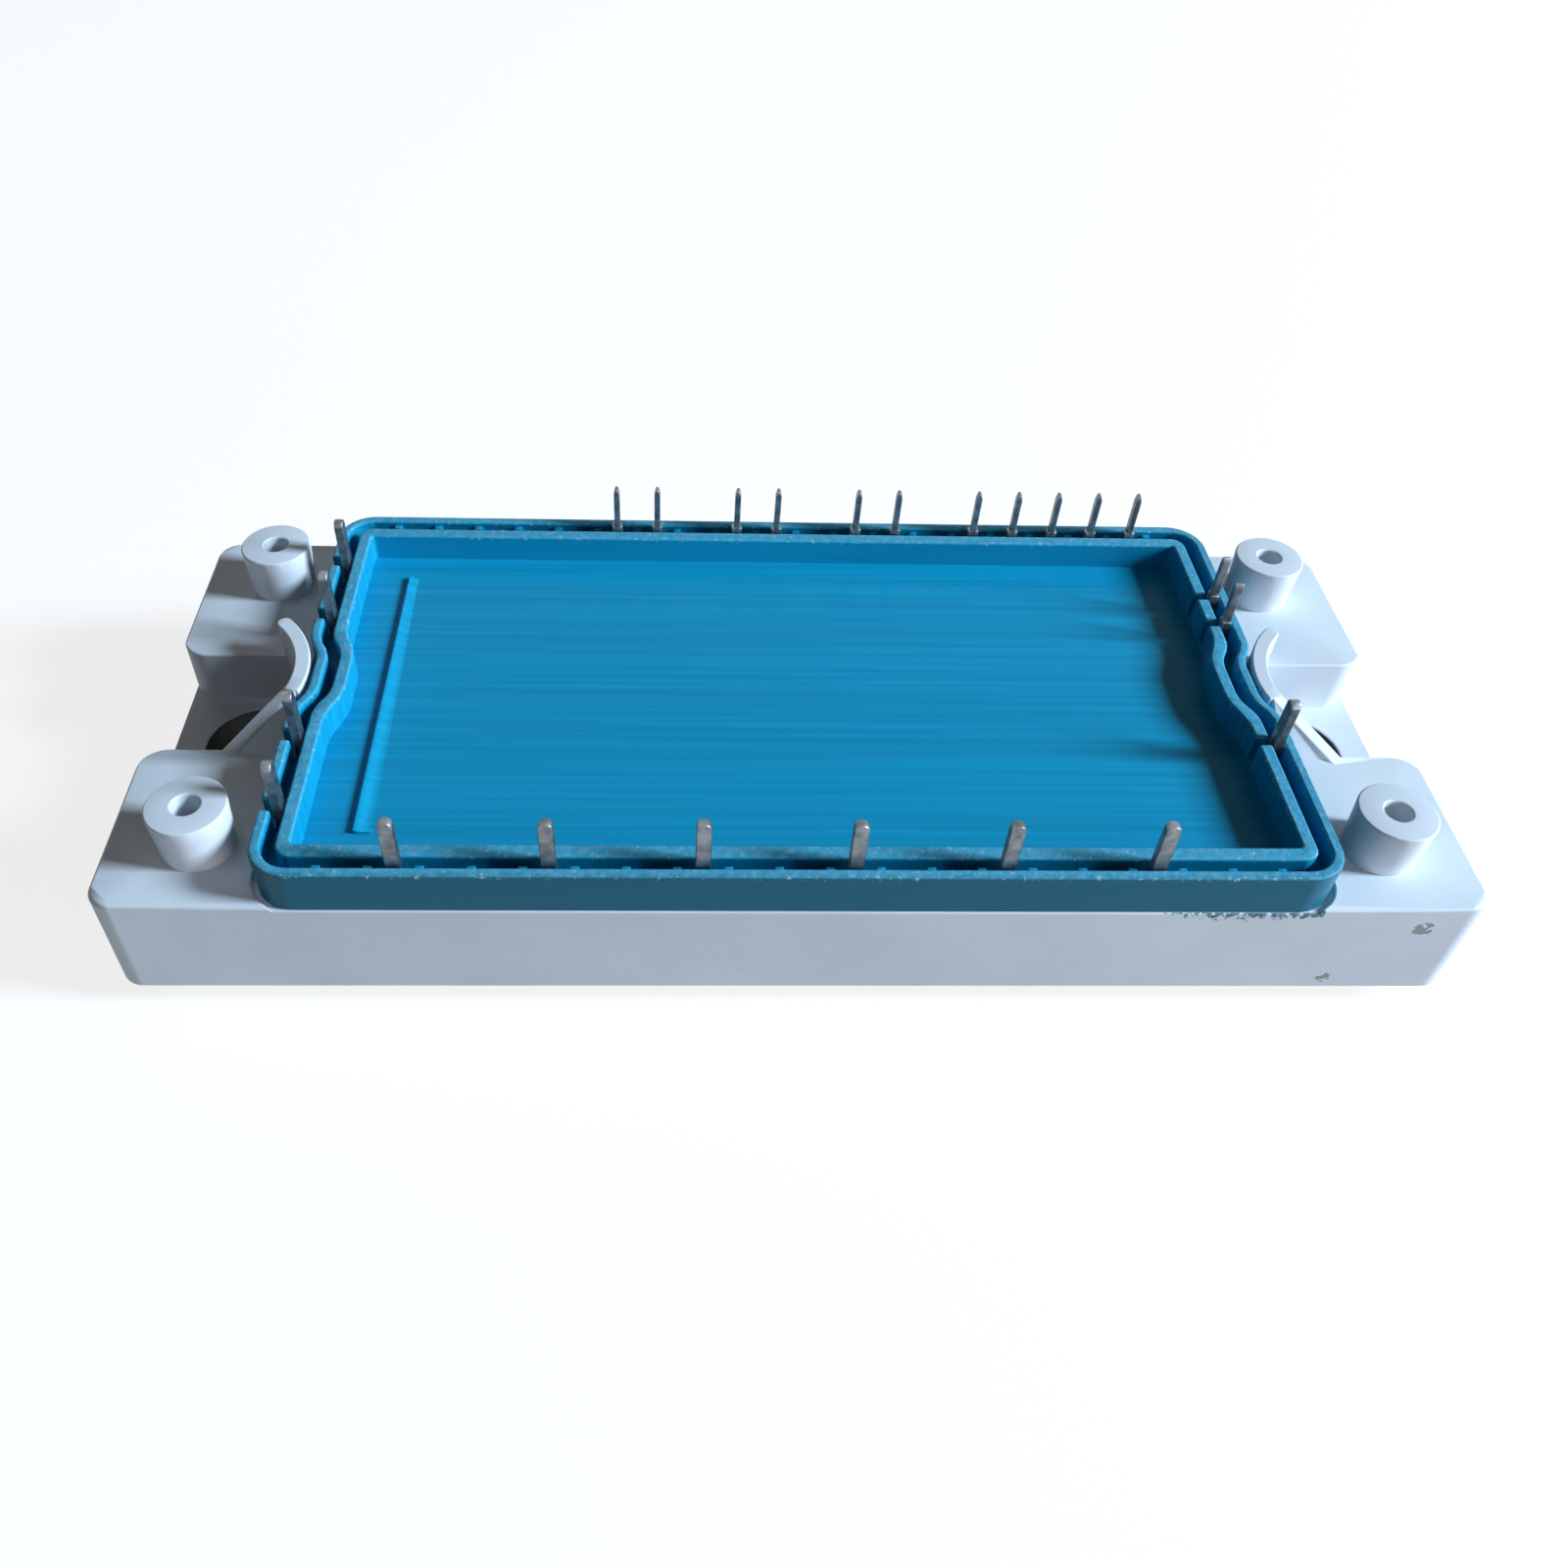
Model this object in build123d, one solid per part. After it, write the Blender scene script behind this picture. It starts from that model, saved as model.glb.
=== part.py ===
"""Power semiconductor module: white frame, teal snap-in lid, baseplate, bonded substrate, 24 solder pins.

Frame of the model: X along the length, Y across it (the front is at -Y), Z up.
The origin is the centre of the mounting face under the baseplate. All lengths are millimetres.
"""
import os
from math import asin, cos, sin, sqrt

from build123d import *

# Solder pins: the places follow a grid, and the module is laid out round their four rows
PIN_GRID = 3.81
END_ROW_STEPS = 21
SIDE_ROW_STEPS = 11
PIN_TIP_Z = 20.5
PIN_SHEET = 0.8
POWER_PIN_WIDTH = 1.15
SIGNAL_PIN_WIDTH = 0.55
SIGNAL_SHOULDER_WIDTH = 1.0
SIGNAL_SHOULDER_RISE = 0.4
SIGNAL_TIP_LENGTH = 0.6
PIN_FOOT_THICKNESS = 0.8
PIN_FOOT_SETBACK = 0.3
PIN_FIT = 0.02
PIN_HOLE_GAP = 0.1

# How far a cut runs past the face that it opens
OVERCUT = 1.0

# Lid: two rims with the pin groove between them, round a flat tray
LID_TOP_Z = 16.0
LID_CORNER_R = 3.2
OUTER_RIM = 0.9
PIN_GROOVE_GAP = 0.12
INNER_RIM_END = 1.15
INNER_RIM_SIDE = 1.25
RIM_EDGE = 0.15
GROOVE_DEPTH = 2.4
TRAY_DEPTH = 2.6
TRAY_CORNER_R = 0.35
END_BEND = 1.15
BEND_FLAT = 3.0
BEND_REACH = 5.5
TRAY_BEND_REACH = 6.5
SKIRT_DEPTH = 1.6
SKIRT_WALL = 1.0
SKIRT_GAP = 0.15
RIDGE_SETBACK = 4.1
RIDGE_WIDTH = 0.85
RIDGE_END_GAP = 3.2
RIDGE_HEIGHT = 0.4
RIDGE_CREST = 0.2
RIDGE_FOOT = 0.6
RIB_LENGTH = 0.7
RIB_REACH = 0.5
RIB_DROP = 0.4
LEFT_SLOT_WIDTH = 1.35
RIGHT_SLOT_WIDTH = 0.9

# White frame: walls round the lid's edge, and an ear at each end
LID_FACE_STEP = 0.125
EAR_LENGTH = 12.325
BODY_CORNER_R = 2.0
FRAME_BOTTOM_Z = 2.4
EAR_TOP_Z = 12.5
EAR_EDGE = 0.3
LEDGE_DROP = 0.5
LID_SEAT_GAP = 0.35

# Cavity of the frame, with a shelf for the pin feet
PIN_INNER_SKIN = 1.0
SIDE_PIN_INNER_SKIN = 1.25
END_SHELF = 3.0
SIDE_SHELF = 2.7
SHELF_Z = 6.6
CAVITY_CORNER_R = 1.2

# Open pocket at each end for the mounting screw, with the collar that parts it from the lid
SCREW_SETBACK = 7.25
POCKET_FLOOR_Z = 7.2
POCKET_ARC_R = 8.4
POCKET_HALF_WIDTH = 5.9
POCKET_MOUTH_R = 2.4
POCKET_WELL_R = 4.6
COLLAR_WALL = 1.3
COLLAR_TOP_Z = 16.0
COLLAR_FRONT_REACH = 2.2
RAMP_TOP_REACH = 1.5
RAMP_FOOT_SETBACK = 6.55
GUSSET_REACH = 4.0
GUSSET_GAP = 0.2
COLLAR_ROOT = 0.5

# Board bosses on the ears
BOSS_SETBACK = 6.2
BOSS_TOP_Z = 17.0
BOSS_TOP_R = 3.1
BOSS_FOOT_R = 2.85
BOSS_EDGE = 0.15
BOSS_HOLE_R = 1.1
BOSS_HOLE_DEPTH = 9.0
BOSS_ROOT = 0.2

# Baseplate, and the adhesive between it and the frame
PLATE_THICKNESS = 3.0
PLATE_INSET = 1.8
PLATE_CORNER_R = 3.0
PLATE_SCREW_R = 2.75
PLATE_GAP = 0.15
PLATE_EDGE = 0.3
GLUE_THICKNESS = 0.2
GLUE_WIDTH = 2.0
GLUE_SETBACK = 0.8

# Bonded substrate: its layers and zones. The rectifier and the brake share what the motor zone leaves
SUBSTRATE_GAP = 0.6
SOLDER_THICKNESS = 0.15
COPPER_THICKNESS = 0.3
CERAMIC_THICKNESS = 0.4
COPPER_INSET = 0.7
ISLAND_GAP = 1.0
RECTIFIER_SHARE = 0.29
BRAKE_SHARE = 0.16
PLUS_RAIL_SHARE = 0.32
MINUS_RAIL_SHARE = 0.32
MOTOR_MINUS_SHARE = 0.2
SENSOR_PAD_LENGTH = 4.0

# Chips, sensor, bond wires and gel
CHIP_SOLDER_THICKNESS = 0.1
CHIP_THICKNESS = 0.25
IGBT_SIZE = 5.6
FREEWHEEL_SIZE = 3.6
RECTIFIER_SIZE = 4.4
CHIP_GAP = 0.8
PAIR_GAP = 0.5785
NTC_LENGTH = 3.2
NTC_WIDTH = 1.6
NTC_HEIGHT = 1.0
WIRE_WIDTH = 0.3
WIRE_LOOP = 0.9
WIRE_DROP_LOOP = 0.4
WIRE_LANDING = 0.9
WIRE_CREST_SHARE = 0.45
WIRE_DROP_CREST_SHARE = 0.3
GEL_COVER = 2.0

# Places that follow from the sizes above, from the pin rows outwards
PIN_END_ROW = END_ROW_STEPS / 2 * PIN_GRID
PIN_SIDE_ROW = SIDE_ROW_STEPS / 2 * PIN_GRID
GROOVE_HALF = PIN_SHEET / 2 + PIN_GROOVE_GAP
GROOVE_OUT_X = PIN_END_ROW + GROOVE_HALF
GROOVE_OUT_Y = PIN_SIDE_ROW + GROOVE_HALF
GROOVE_IN_X = PIN_END_ROW - GROOVE_HALF
GROOVE_IN_Y = PIN_SIDE_ROW - GROOVE_HALF
TRAY_X = GROOVE_IN_X - INNER_RIM_END
TRAY_Y = GROOVE_IN_Y - INNER_RIM_SIDE
LID_HALF_X = GROOVE_OUT_X + OUTER_RIM
LID_HALF_Y = GROOVE_OUT_Y + OUTER_RIM
BODY_LENGTH = 2 * (LID_HALF_X + EAR_LENGTH)
BODY_WIDTH = 2 * (LID_HALF_Y + LID_FACE_STEP)
SCREW_X = BODY_LENGTH / 2 - SCREW_SETBACK
BOSS_Y = BODY_WIDTH / 2 - BOSS_SETBACK
POCKET_ARC_X = LID_HALF_X - END_BEND + LID_SEAT_GAP + COLLAR_WALL + POCKET_ARC_R
CAVITY_LENGTH = 2 * (PIN_END_ROW - PIN_SHEET / 2 - PIN_INNER_SKIN)
CAVITY_WIDTH = 2 * (PIN_SIDE_ROW - PIN_SHEET / 2 - SIDE_PIN_INNER_SKIN)
WELL_LENGTH = CAVITY_LENGTH - 2 * END_SHELF
WELL_WIDTH = CAVITY_WIDTH - 2 * SIDE_SHELF
PLATE_LENGTH = BODY_LENGTH - 2 * PLATE_INSET
PLATE_WIDTH = BODY_WIDTH - 2 * PLATE_INSET
SUBSTRATE_LENGTH = WELL_LENGTH - 2 * SUBSTRATE_GAP
SUBSTRATE_WIDTH = WELL_WIDTH - 2 * SUBSTRATE_GAP
COPPER_X = SUBSTRATE_LENGTH / 2 - COPPER_INSET
COPPER_Y = SUBSTRATE_WIDTH / 2 - COPPER_INSET
PAIR_LENGTH = IGBT_SIZE + CHIP_GAP + FREEWHEEL_SIZE

# Levels that follow from the sizes above
LEDGE_Z = EAR_TOP_Z - LEDGE_DROP
GROOVE_FLOOR_Z = LID_TOP_Z - GROOVE_DEPTH
TRAY_FLOOR_Z = LID_TOP_Z - TRAY_DEPTH
SIGNAL_SHOULDER_Z = LID_TOP_Z + SIGNAL_SHOULDER_RISE
FOOT_TOP_Z = SHELF_Z + PIN_FOOT_THICKNESS
GEL_TOP_Z = FOOT_TOP_Z + GEL_COVER
GLUE_TOP_Z = PLATE_THICKNESS + GLUE_THICKNESS
LOWER_COPPER_Z = PLATE_THICKNESS + SOLDER_THICKNESS
CERAMIC_Z = LOWER_COPPER_Z + COPPER_THICKNESS
UPPER_COPPER_Z = CERAMIC_Z + CERAMIC_THICKNESS
ISLAND_TOP_Z = UPPER_COPPER_Z + COPPER_THICKNESS
CHIP_Z = ISLAND_TOP_Z + CHIP_SOLDER_THICKNESS
CHIP_TOP_Z = CHIP_Z + CHIP_THICKNESS

# Grid places of the pins along each row, counted from the row's middle
FRONT_PLACES = (-8, -5, -2, 1, 4, 7)
REAR_PLACES = (-4, -3, -1, 0, 2, 3, 5, 6, 7, 8, 9)
LEFT_PLACES = (-4, -2, 2, 4)
RIGHT_POWER_PLACES = (-2,)
RIGHT_SENSOR_PLACES = (2, 3)


def block(x0, x1, y0, y1, z0, z1):
    """A level box between six faces."""
    return Pos((x0 + x1) / 2, (y0 + y1) / 2, (z0 + z1) / 2) * Box(x1 - x0, y1 - y0, z1 - z0)


def slab(length, width, z0, z1, corner_r=0.0):
    """A level plate about the Z axis, with rounded upright corners where a radius is given."""
    outline = RectangleRounded(length, width, corner_r) if corner_r else Rectangle(length, width)
    return Pos(0, 0, z0) * extrude(outline, z1 - z0)


def mirrored(shape):
    """The shape and its mirror image at the other end of the module."""
    return shape + mirror(shape, about=Plane.YZ)


def wavy_outline(half_x, half_y, corner_r, reach):
    """Rounded rectangle whose two ends bend inwards in the middle to clear the screw collars."""
    flat = BEND_FLAT / 2
    middle = (half_x - END_BEND / 2, (reach + flat) / 2)
    top = Line((0, half_y), (half_x - corner_r, half_y))
    corner = RadiusArc(top @ 1, (half_x, half_y - corner_r), corner_r)
    upper = Line(corner @ 1, (half_x, reach))
    turn_in = TangentArc(upper @ 1, middle, tangent=upper % 1)
    turn_back = TangentArc(turn_in @ 1, (half_x - END_BEND, flat), tangent=turn_in % 1)
    floor = Line(turn_back @ 1, (half_x - END_BEND, 0))
    quarter = top + corner + upper + turn_in + turn_back + floor
    half = quarter + mirror(quarter, about=Plane.XZ)
    return make_face(half + mirror(half, about=Plane.YZ))


def wavy_block(half_x, half_y, corner_r, reach, z0, z1):
    """The wavy outline raised between two levels."""
    return Pos(0, 0, z0) * extrude(wavy_outline(half_x, half_y, corner_r, reach), z1 - z0)


def pin_table():
    """Every pin as (name, centre x, centre y, quarter turns from the front row, is a power pin)."""
    rows = [
        ("front_power_pin", FRONT_PLACES, 0, True),
        ("right_power_pin", RIGHT_POWER_PLACES, 1, True),
        ("right_sensor_pin", RIGHT_SENSOR_PLACES, 1, False),
        ("rear_signal_pin", REAR_PLACES, 2, False),
        ("left_power_pin", LEFT_PLACES, 3, True),
    ]
    pins = []
    for name, places, turns, power in rows:
        for number, place in enumerate(places, start=1):
            along = place * PIN_GRID
            x, y = [
                (along, -PIN_SIDE_ROW),
                (PIN_END_ROW, along),
                (along, PIN_SIDE_ROW),
                (-PIN_END_ROW, along),
            ][turns]
            pins.append((f"{name}_{number}", x, y, turns, power))
    return pins


def set_pin(shape, x, y, turns):
    """Turns a shape drawn for a pin at the origin of the front row and sets it at its grid place."""
    return Pos(x, y, 0) * Rot(0, 0, 90 * turns) * shape


def foot_length(turns):
    """Reach of a pin's foot from the pin's middle to near the shelf's inner edge."""
    if turns in (1, 3):
        return PIN_END_ROW - WELL_LENGTH / 2 - PIN_FOOT_SETBACK
    return PIN_SIDE_ROW - WELL_WIDTH / 2 - PIN_FOOT_SETBACK


def pin_solid(turns, power):
    """One bent strip terminal at the origin: foot towards +Y, upright with its formed tip."""
    half = (POWER_PIN_WIDTH if power else SIGNAL_PIN_WIDTH) / 2
    shoulder = (POWER_PIN_WIDTH if power else SIGNAL_SHOULDER_WIDTH) / 2
    if power:
        side = Line((half, SHELF_Z), (half, PIN_TIP_Z - half))
        tip = RadiusArc(side @ 1, (-half, PIN_TIP_Z - half), -half)
        edge = side + tip + Line(tip @ 1, (-half, SHELF_Z)) + Line((-half, SHELF_Z), (half, SHELF_Z))
        profile = make_face(edge)
    else:
        right = [(shoulder, SHELF_Z), (shoulder, SIGNAL_SHOULDER_Z), (half, SIGNAL_SHOULDER_Z)]
        right += [(half, PIN_TIP_Z - SIGNAL_TIP_LENGTH), (half / 2, PIN_TIP_Z)]
        left = [(-x, z) for x, z in reversed(right)]
        profile = make_face(Polyline(*right, *left, close=True))
    upright = extrude(Plane.XZ * profile, PIN_SHEET / 2, both=True)
    foot = block(-shoulder, shoulder, -PIN_SHEET / 2, foot_length(turns), SHELF_Z, FOOT_TOP_Z)
    return upright + foot


def pin_seat(turns, power):
    """The void in the frame's wall that a pin stands in."""
    half = (POWER_PIN_WIDTH if power else SIGNAL_SHOULDER_WIDTH) / 2 + PIN_FIT
    back = PIN_SHEET / 2 + PIN_FIT
    upright = block(-half, half, -back, back, SHELF_Z, LEDGE_Z + OVERCUT)
    channel = block(-half, half, -back, foot_length(turns), SHELF_Z, FOOT_TOP_Z + PIN_FIT)
    return upright + channel


def lid_pin_hole(power):
    """The slot through the lid's groove for one pin."""
    half = (POWER_PIN_WIDTH if power else SIGNAL_SHOULDER_WIDTH) / 2 + PIN_HOLE_GAP
    back = PIN_SHEET / 2 + PIN_HOLE_GAP
    return block(-half, half, -back, back, LEDGE_Z - OVERCUT, GROOVE_FLOOR_Z + OVERCUT)


def ramp_ends():
    """Plan points of the right-hand ramp: top on the pocket's arc, foot on the pocket's front edge."""
    top = (POCKET_ARC_X - sqrt(POCKET_ARC_R**2 - RAMP_TOP_REACH**2), -RAMP_TOP_REACH)
    foot = (BODY_LENGTH / 2 - RAMP_FOOT_SETBACK, -POCKET_HALF_WIDTH)
    return top, foot


def pocket_outline():
    """Plan of the right-hand screw pocket, which the ramp's wall cuts short at the front inner corner."""
    top, foot = ramp_ends()
    aside_x, aside_y = top[0] - POCKET_ARC_R, foot[1] - POCKET_ARC_R
    behind_ramp = [top, foot, (foot[0], aside_y), (aside_x, aside_y), (aside_x, top[1])]
    mouth = BODY_LENGTH / 2 + OVERCUT
    channel = Pos((POCKET_ARC_X + mouth) / 2, 0) * Rectangle(mouth - POCKET_ARC_X, 2 * POCKET_HALF_WIDTH)
    strip = Pos(POCKET_ARC_X, 0) * Rectangle(2 * POCKET_ARC_R, 2 * POCKET_HALF_WIDTH)
    outline = channel + (Pos(POCKET_ARC_X, 0) * Circle(POCKET_ARC_R) & strip)
    return outline - make_face(Polyline(*behind_ramp, close=True))


def pocket():
    """Cut for the right-hand screw pocket, with the mouth's corners rounded off."""
    end = BODY_LENGTH / 2
    r = POCKET_MOUTH_R
    cut = Pos(0, 0, POCKET_FLOOR_Z) * extrude(pocket_outline(), COLLAR_TOP_Z)
    for side in (-1, 1):
        y = side * POCKET_HALF_WIDTH
        corner = Pos(end - r / 2, y + side * r / 2) * Rectangle(r, r)
        corner -= Pos(end - r, y + side * r) * Circle(r)
        cut += Pos(0, 0, POCKET_FLOOR_Z) * extrude(corner, COLLAR_TOP_Z)
    return cut


def collar():
    """Right-hand collar: an upright arc wall, round at the back end, that meets the ramp at the front."""
    outer_r = POCKET_ARC_R + COLLAR_WALL
    middle_r = POCKET_ARC_R + COLLAR_WALL / 2
    spread = asin(POCKET_HALF_WIDTH / POCKET_ARC_R)
    front_spread = asin(COLLAR_FRONT_REACH / POCKET_ARC_R)
    wall = Circle(outer_r) - Circle(POCKET_ARC_R)
    wedge = [(0, 0)]
    wedge += [(-2 * outer_r * cos(a), 2 * outer_r * sin(a)) for a in (-front_spread, 0, spread)]
    plan = Pos(POCKET_ARC_X, 0) * (wall & make_face(Polyline(*wedge, close=True)))
    back_x = POCKET_ARC_X - middle_r * cos(spread)
    back_y = middle_r * sin(spread)
    plan += Pos(back_x, back_y) * Circle(COLLAR_WALL / 2)
    return Pos(0, 0, POCKET_FLOOR_Z) * extrude(plan, COLLAR_TOP_Z - POCKET_FLOOR_Z)


def collar_ramp():
    """Wall that slopes from the right-hand collar down to the ear, with a gusset on its lid side."""
    top, foot = ramp_ends()
    run = Vector(foot[0] - top[0], foot[1] - top[1], 0)
    side = Plane(origin=(*top, 0), x_dir=run, z_dir=run.cross(Vector(0, 0, 1)))
    root_z = EAR_TOP_Z - COLLAR_ROOT
    outline = [(0, root_z), (0, COLLAR_TOP_Z), (run.length, EAR_TOP_Z), (run.length, root_z)]
    wall = extrude(side * make_face(Polyline(*outline, close=True)), COLLAR_WALL)
    aside = side.z_dir * COLLAR_WALL
    crest, heel = Vector(*top, COLLAR_TOP_Z) + aside, Vector(*top, root_z) + aside
    toe = Vector(*foot, root_z) + aside
    lid_side = Vector(LID_HALF_X + LID_SEAT_GAP + GUSSET_GAP, heel.Y - GUSSET_REACH, root_z)
    return wall + tetrahedron(crest, heel, toe, lid_side)


def tetrahedron(a, b, c, d):
    """Solid between four corners."""
    shell = Shell([Face(Wire.make_polygon(face)) for face in ((a, b, c), (a, c, d), (a, d, b), (b, d, c))])
    solid = Solid(shell)
    return solid if solid.volume > 0 else Solid(shell.reversed())


def boss():
    """One tapered screw boss at the origin, with its blind hole."""
    foot_z = EAR_TOP_Z - BOSS_ROOT
    side = [(BOSS_HOLE_R, foot_z), (BOSS_FOOT_R, foot_z), (BOSS_TOP_R, BOSS_TOP_Z - BOSS_EDGE)]
    crown = [(BOSS_TOP_R - BOSS_EDGE, BOSS_TOP_Z), (BOSS_HOLE_R, BOSS_TOP_Z)]
    profile = make_face(Polyline(*side, *crown, close=True))
    return revolve(Plane.XZ * profile, Axis.Z)


def housing_frame():
    """White moulded frame: two ears with pockets and bosses, and the walls round the cavity."""
    body = slab(BODY_LENGTH, BODY_WIDTH, FRAME_BOTTOM_Z, EAR_TOP_Z, BODY_CORNER_R)
    body = chamfer(body.faces().sort_by(Axis.Z)[-1].edges(), EAR_EDGE)
    seat_x, seat_y = LID_HALF_X + LID_SEAT_GAP, LID_HALF_Y + LID_SEAT_GAP
    body -= wavy_block(seat_x, seat_y, LID_CORNER_R, BEND_REACH, LEDGE_Z, EAR_TOP_Z + OVERCUT)
    body -= mirrored(pocket())
    body += mirrored(collar() + collar_ramp())
    for x in (-SCREW_X, SCREW_X):
        body -= Pos(x, 0, 0) * Cylinder(POCKET_WELL_R, 2 * POCKET_FLOOR_Z)
        for y in (-BOSS_Y, BOSS_Y):
            body += Pos(x, y, 0) * boss()
            hole = Cylinder(BOSS_HOLE_R, BOSS_HOLE_DEPTH, align=(Align.CENTER, Align.CENTER, Align.MAX))
            body -= Pos(x, y, BOSS_TOP_Z) * hole
    recess_x, recess_y = PLATE_LENGTH + 2 * PLATE_GAP, PLATE_WIDTH + 2 * PLATE_GAP
    body -= slab(recess_x, recess_y, 0, GLUE_TOP_Z, PLATE_CORNER_R + PLATE_GAP)
    body -= slab(WELL_LENGTH, WELL_WIDTH, 0, LEDGE_Z, CAVITY_CORNER_R)
    body -= slab(CAVITY_LENGTH, CAVITY_WIDTH, SHELF_Z, LEDGE_Z + OVERCUT, CAVITY_CORNER_R)
    for _, x, y, turns, power in pin_table():
        body -= set_pin(pin_seat(turns, power), x, y, turns)
    return body


def lid():
    """Teal lid: tray with a double rim, the pin groove and its slots, and a locating skirt below."""
    body = wavy_block(LID_HALF_X, LID_HALF_Y, LID_CORNER_R, BEND_REACH, LEDGE_Z, LID_TOP_Z)
    over_z = LID_TOP_Z + OVERCUT
    outer_r = LID_CORNER_R - OUTER_RIM
    outer = wavy_block(GROOVE_OUT_X, GROOVE_OUT_Y, outer_r, BEND_REACH, GROOVE_FLOOR_Z, over_z)
    inner_r = outer_r - 2 * GROOVE_HALF
    below_z = GROOVE_FLOOR_Z - OVERCUT
    body -= outer - wavy_block(GROOVE_IN_X, GROOVE_IN_Y, inner_r, BEND_REACH, below_z, over_z)
    body -= wavy_block(TRAY_X, TRAY_Y, TRAY_CORNER_R, TRAY_BEND_REACH, TRAY_FLOOR_Z, over_z)
    body = chamfer(body.faces().filter_by(Plane.XY).sort_by(Axis.Z)[-2:].edges(), RIM_EDGE)
    body += groove_ribs()
    body += ridge()
    skirt_x = CAVITY_LENGTH - 2 * SKIRT_GAP
    skirt_y = CAVITY_WIDTH - 2 * SKIRT_GAP
    skirt = slab(skirt_x, skirt_y, LEDGE_Z - SKIRT_DEPTH, LEDGE_Z, CAVITY_CORNER_R)
    hollow_x = skirt_x - 2 * SKIRT_WALL
    hollow_y = skirt_y - 2 * SKIRT_WALL
    body += skirt - slab(hollow_x, hollow_y, LEDGE_Z - 2 * SKIRT_DEPTH, LEDGE_Z)
    for _, x, y, turns, power in pin_table():
        body -= set_pin(lid_pin_hole(power), x, y, turns)
    body -= end_slots()
    return body


def groove_ribs():
    """Short ribs on the outer rim, half way between the grid places of the front and back grooves."""
    ribs = []
    for step in range(1, END_ROW_STEPS):
        x = step * PIN_GRID - PIN_END_ROW
        for side in (-1, 1):
            wall, tip = side * (GROOVE_OUT_Y + RIM_EDGE), side * (GROOVE_OUT_Y - RIB_REACH)
            y0, y1 = min(wall, tip), max(wall, tip)
            ribs.append(
                block(x - RIB_LENGTH / 2, x + RIB_LENGTH / 2, y0, y1, GROOVE_FLOOR_Z, LID_TOP_Z - RIB_DROP)
            )
    return ribs


def ridge():
    """Low ridge across the tray's floor near its left end, sloped on the right, with a foot at the front."""
    x, half = RIDGE_SETBACK - TRAY_X, TRAY_Y - RIDGE_END_GAP
    left, right = x - RIDGE_WIDTH / 2, x + RIDGE_WIDTH / 2
    top_z = TRAY_FLOOR_Z + RIDGE_HEIGHT
    section = [(left, TRAY_FLOOR_Z), (left, top_z), (left + RIDGE_CREST, top_z), (right, TRAY_FLOOR_Z)]
    bar = extrude(Plane.XZ * make_face(Polyline(*section, close=True)), half, both=True)
    foot_z = TRAY_FLOOR_Z + RIDGE_HEIGHT / 2
    return bar + block(left, right + RIDGE_FOOT, -half, RIDGE_WIDTH / 2 - half, TRAY_FLOOR_Z, foot_z)


def end_slots():
    """Slots beside the end pins: through the outer rim at the left end, the inner rim at the right."""
    top_z = LID_TOP_Z + OVERCUT
    outside = -LID_HALF_X - OVERCUT
    cuts = []
    for place in LEFT_PLACES:
        y, half = place * PIN_GRID, LEFT_SLOT_WIDTH / 2
        cuts.append(block(outside, -PIN_END_ROW, y - half, y + half, GROOVE_FLOOR_Z, top_z))
    for place in RIGHT_POWER_PLACES + RIGHT_SENSOR_PLACES:
        y, half = place * PIN_GRID, RIGHT_SLOT_WIDTH / 2
        cuts.append(block(TRAY_X - END_BEND, PIN_END_ROW, y - half, y + half, GROOVE_FLOOR_Z, top_z))
    return cuts


def baseplate():
    """Metal baseplate with the two mounting holes."""
    plate = slab(PLATE_LENGTH, PLATE_WIDTH, 0, PLATE_THICKNESS, PLATE_CORNER_R)
    plate = chamfer(plate.faces().sort_by(Axis.Z)[0].edges(), PLATE_EDGE)
    for x in (-SCREW_X, SCREW_X):
        plate -= Pos(x, 0, PLATE_THICKNESS / 2) * Cylinder(PLATE_SCREW_R, 2 * PLATE_THICKNESS)
    return plate


def adhesive_bead():
    """Flat ring of adhesive round the substrate, between baseplate and frame."""
    inner_x, inner_y = WELL_LENGTH + 2 * GLUE_SETBACK, WELL_WIDTH + 2 * GLUE_SETBACK
    outer_x, outer_y = inner_x + 2 * GLUE_WIDTH, inner_y + 2 * GLUE_WIDTH
    ring = slab(outer_x, outer_y, PLATE_THICKNESS, GLUE_TOP_Z, GLUE_WIDTH)
    return ring - slab(inner_x, inner_y, 0, 2 * GLUE_TOP_Z)


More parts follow.
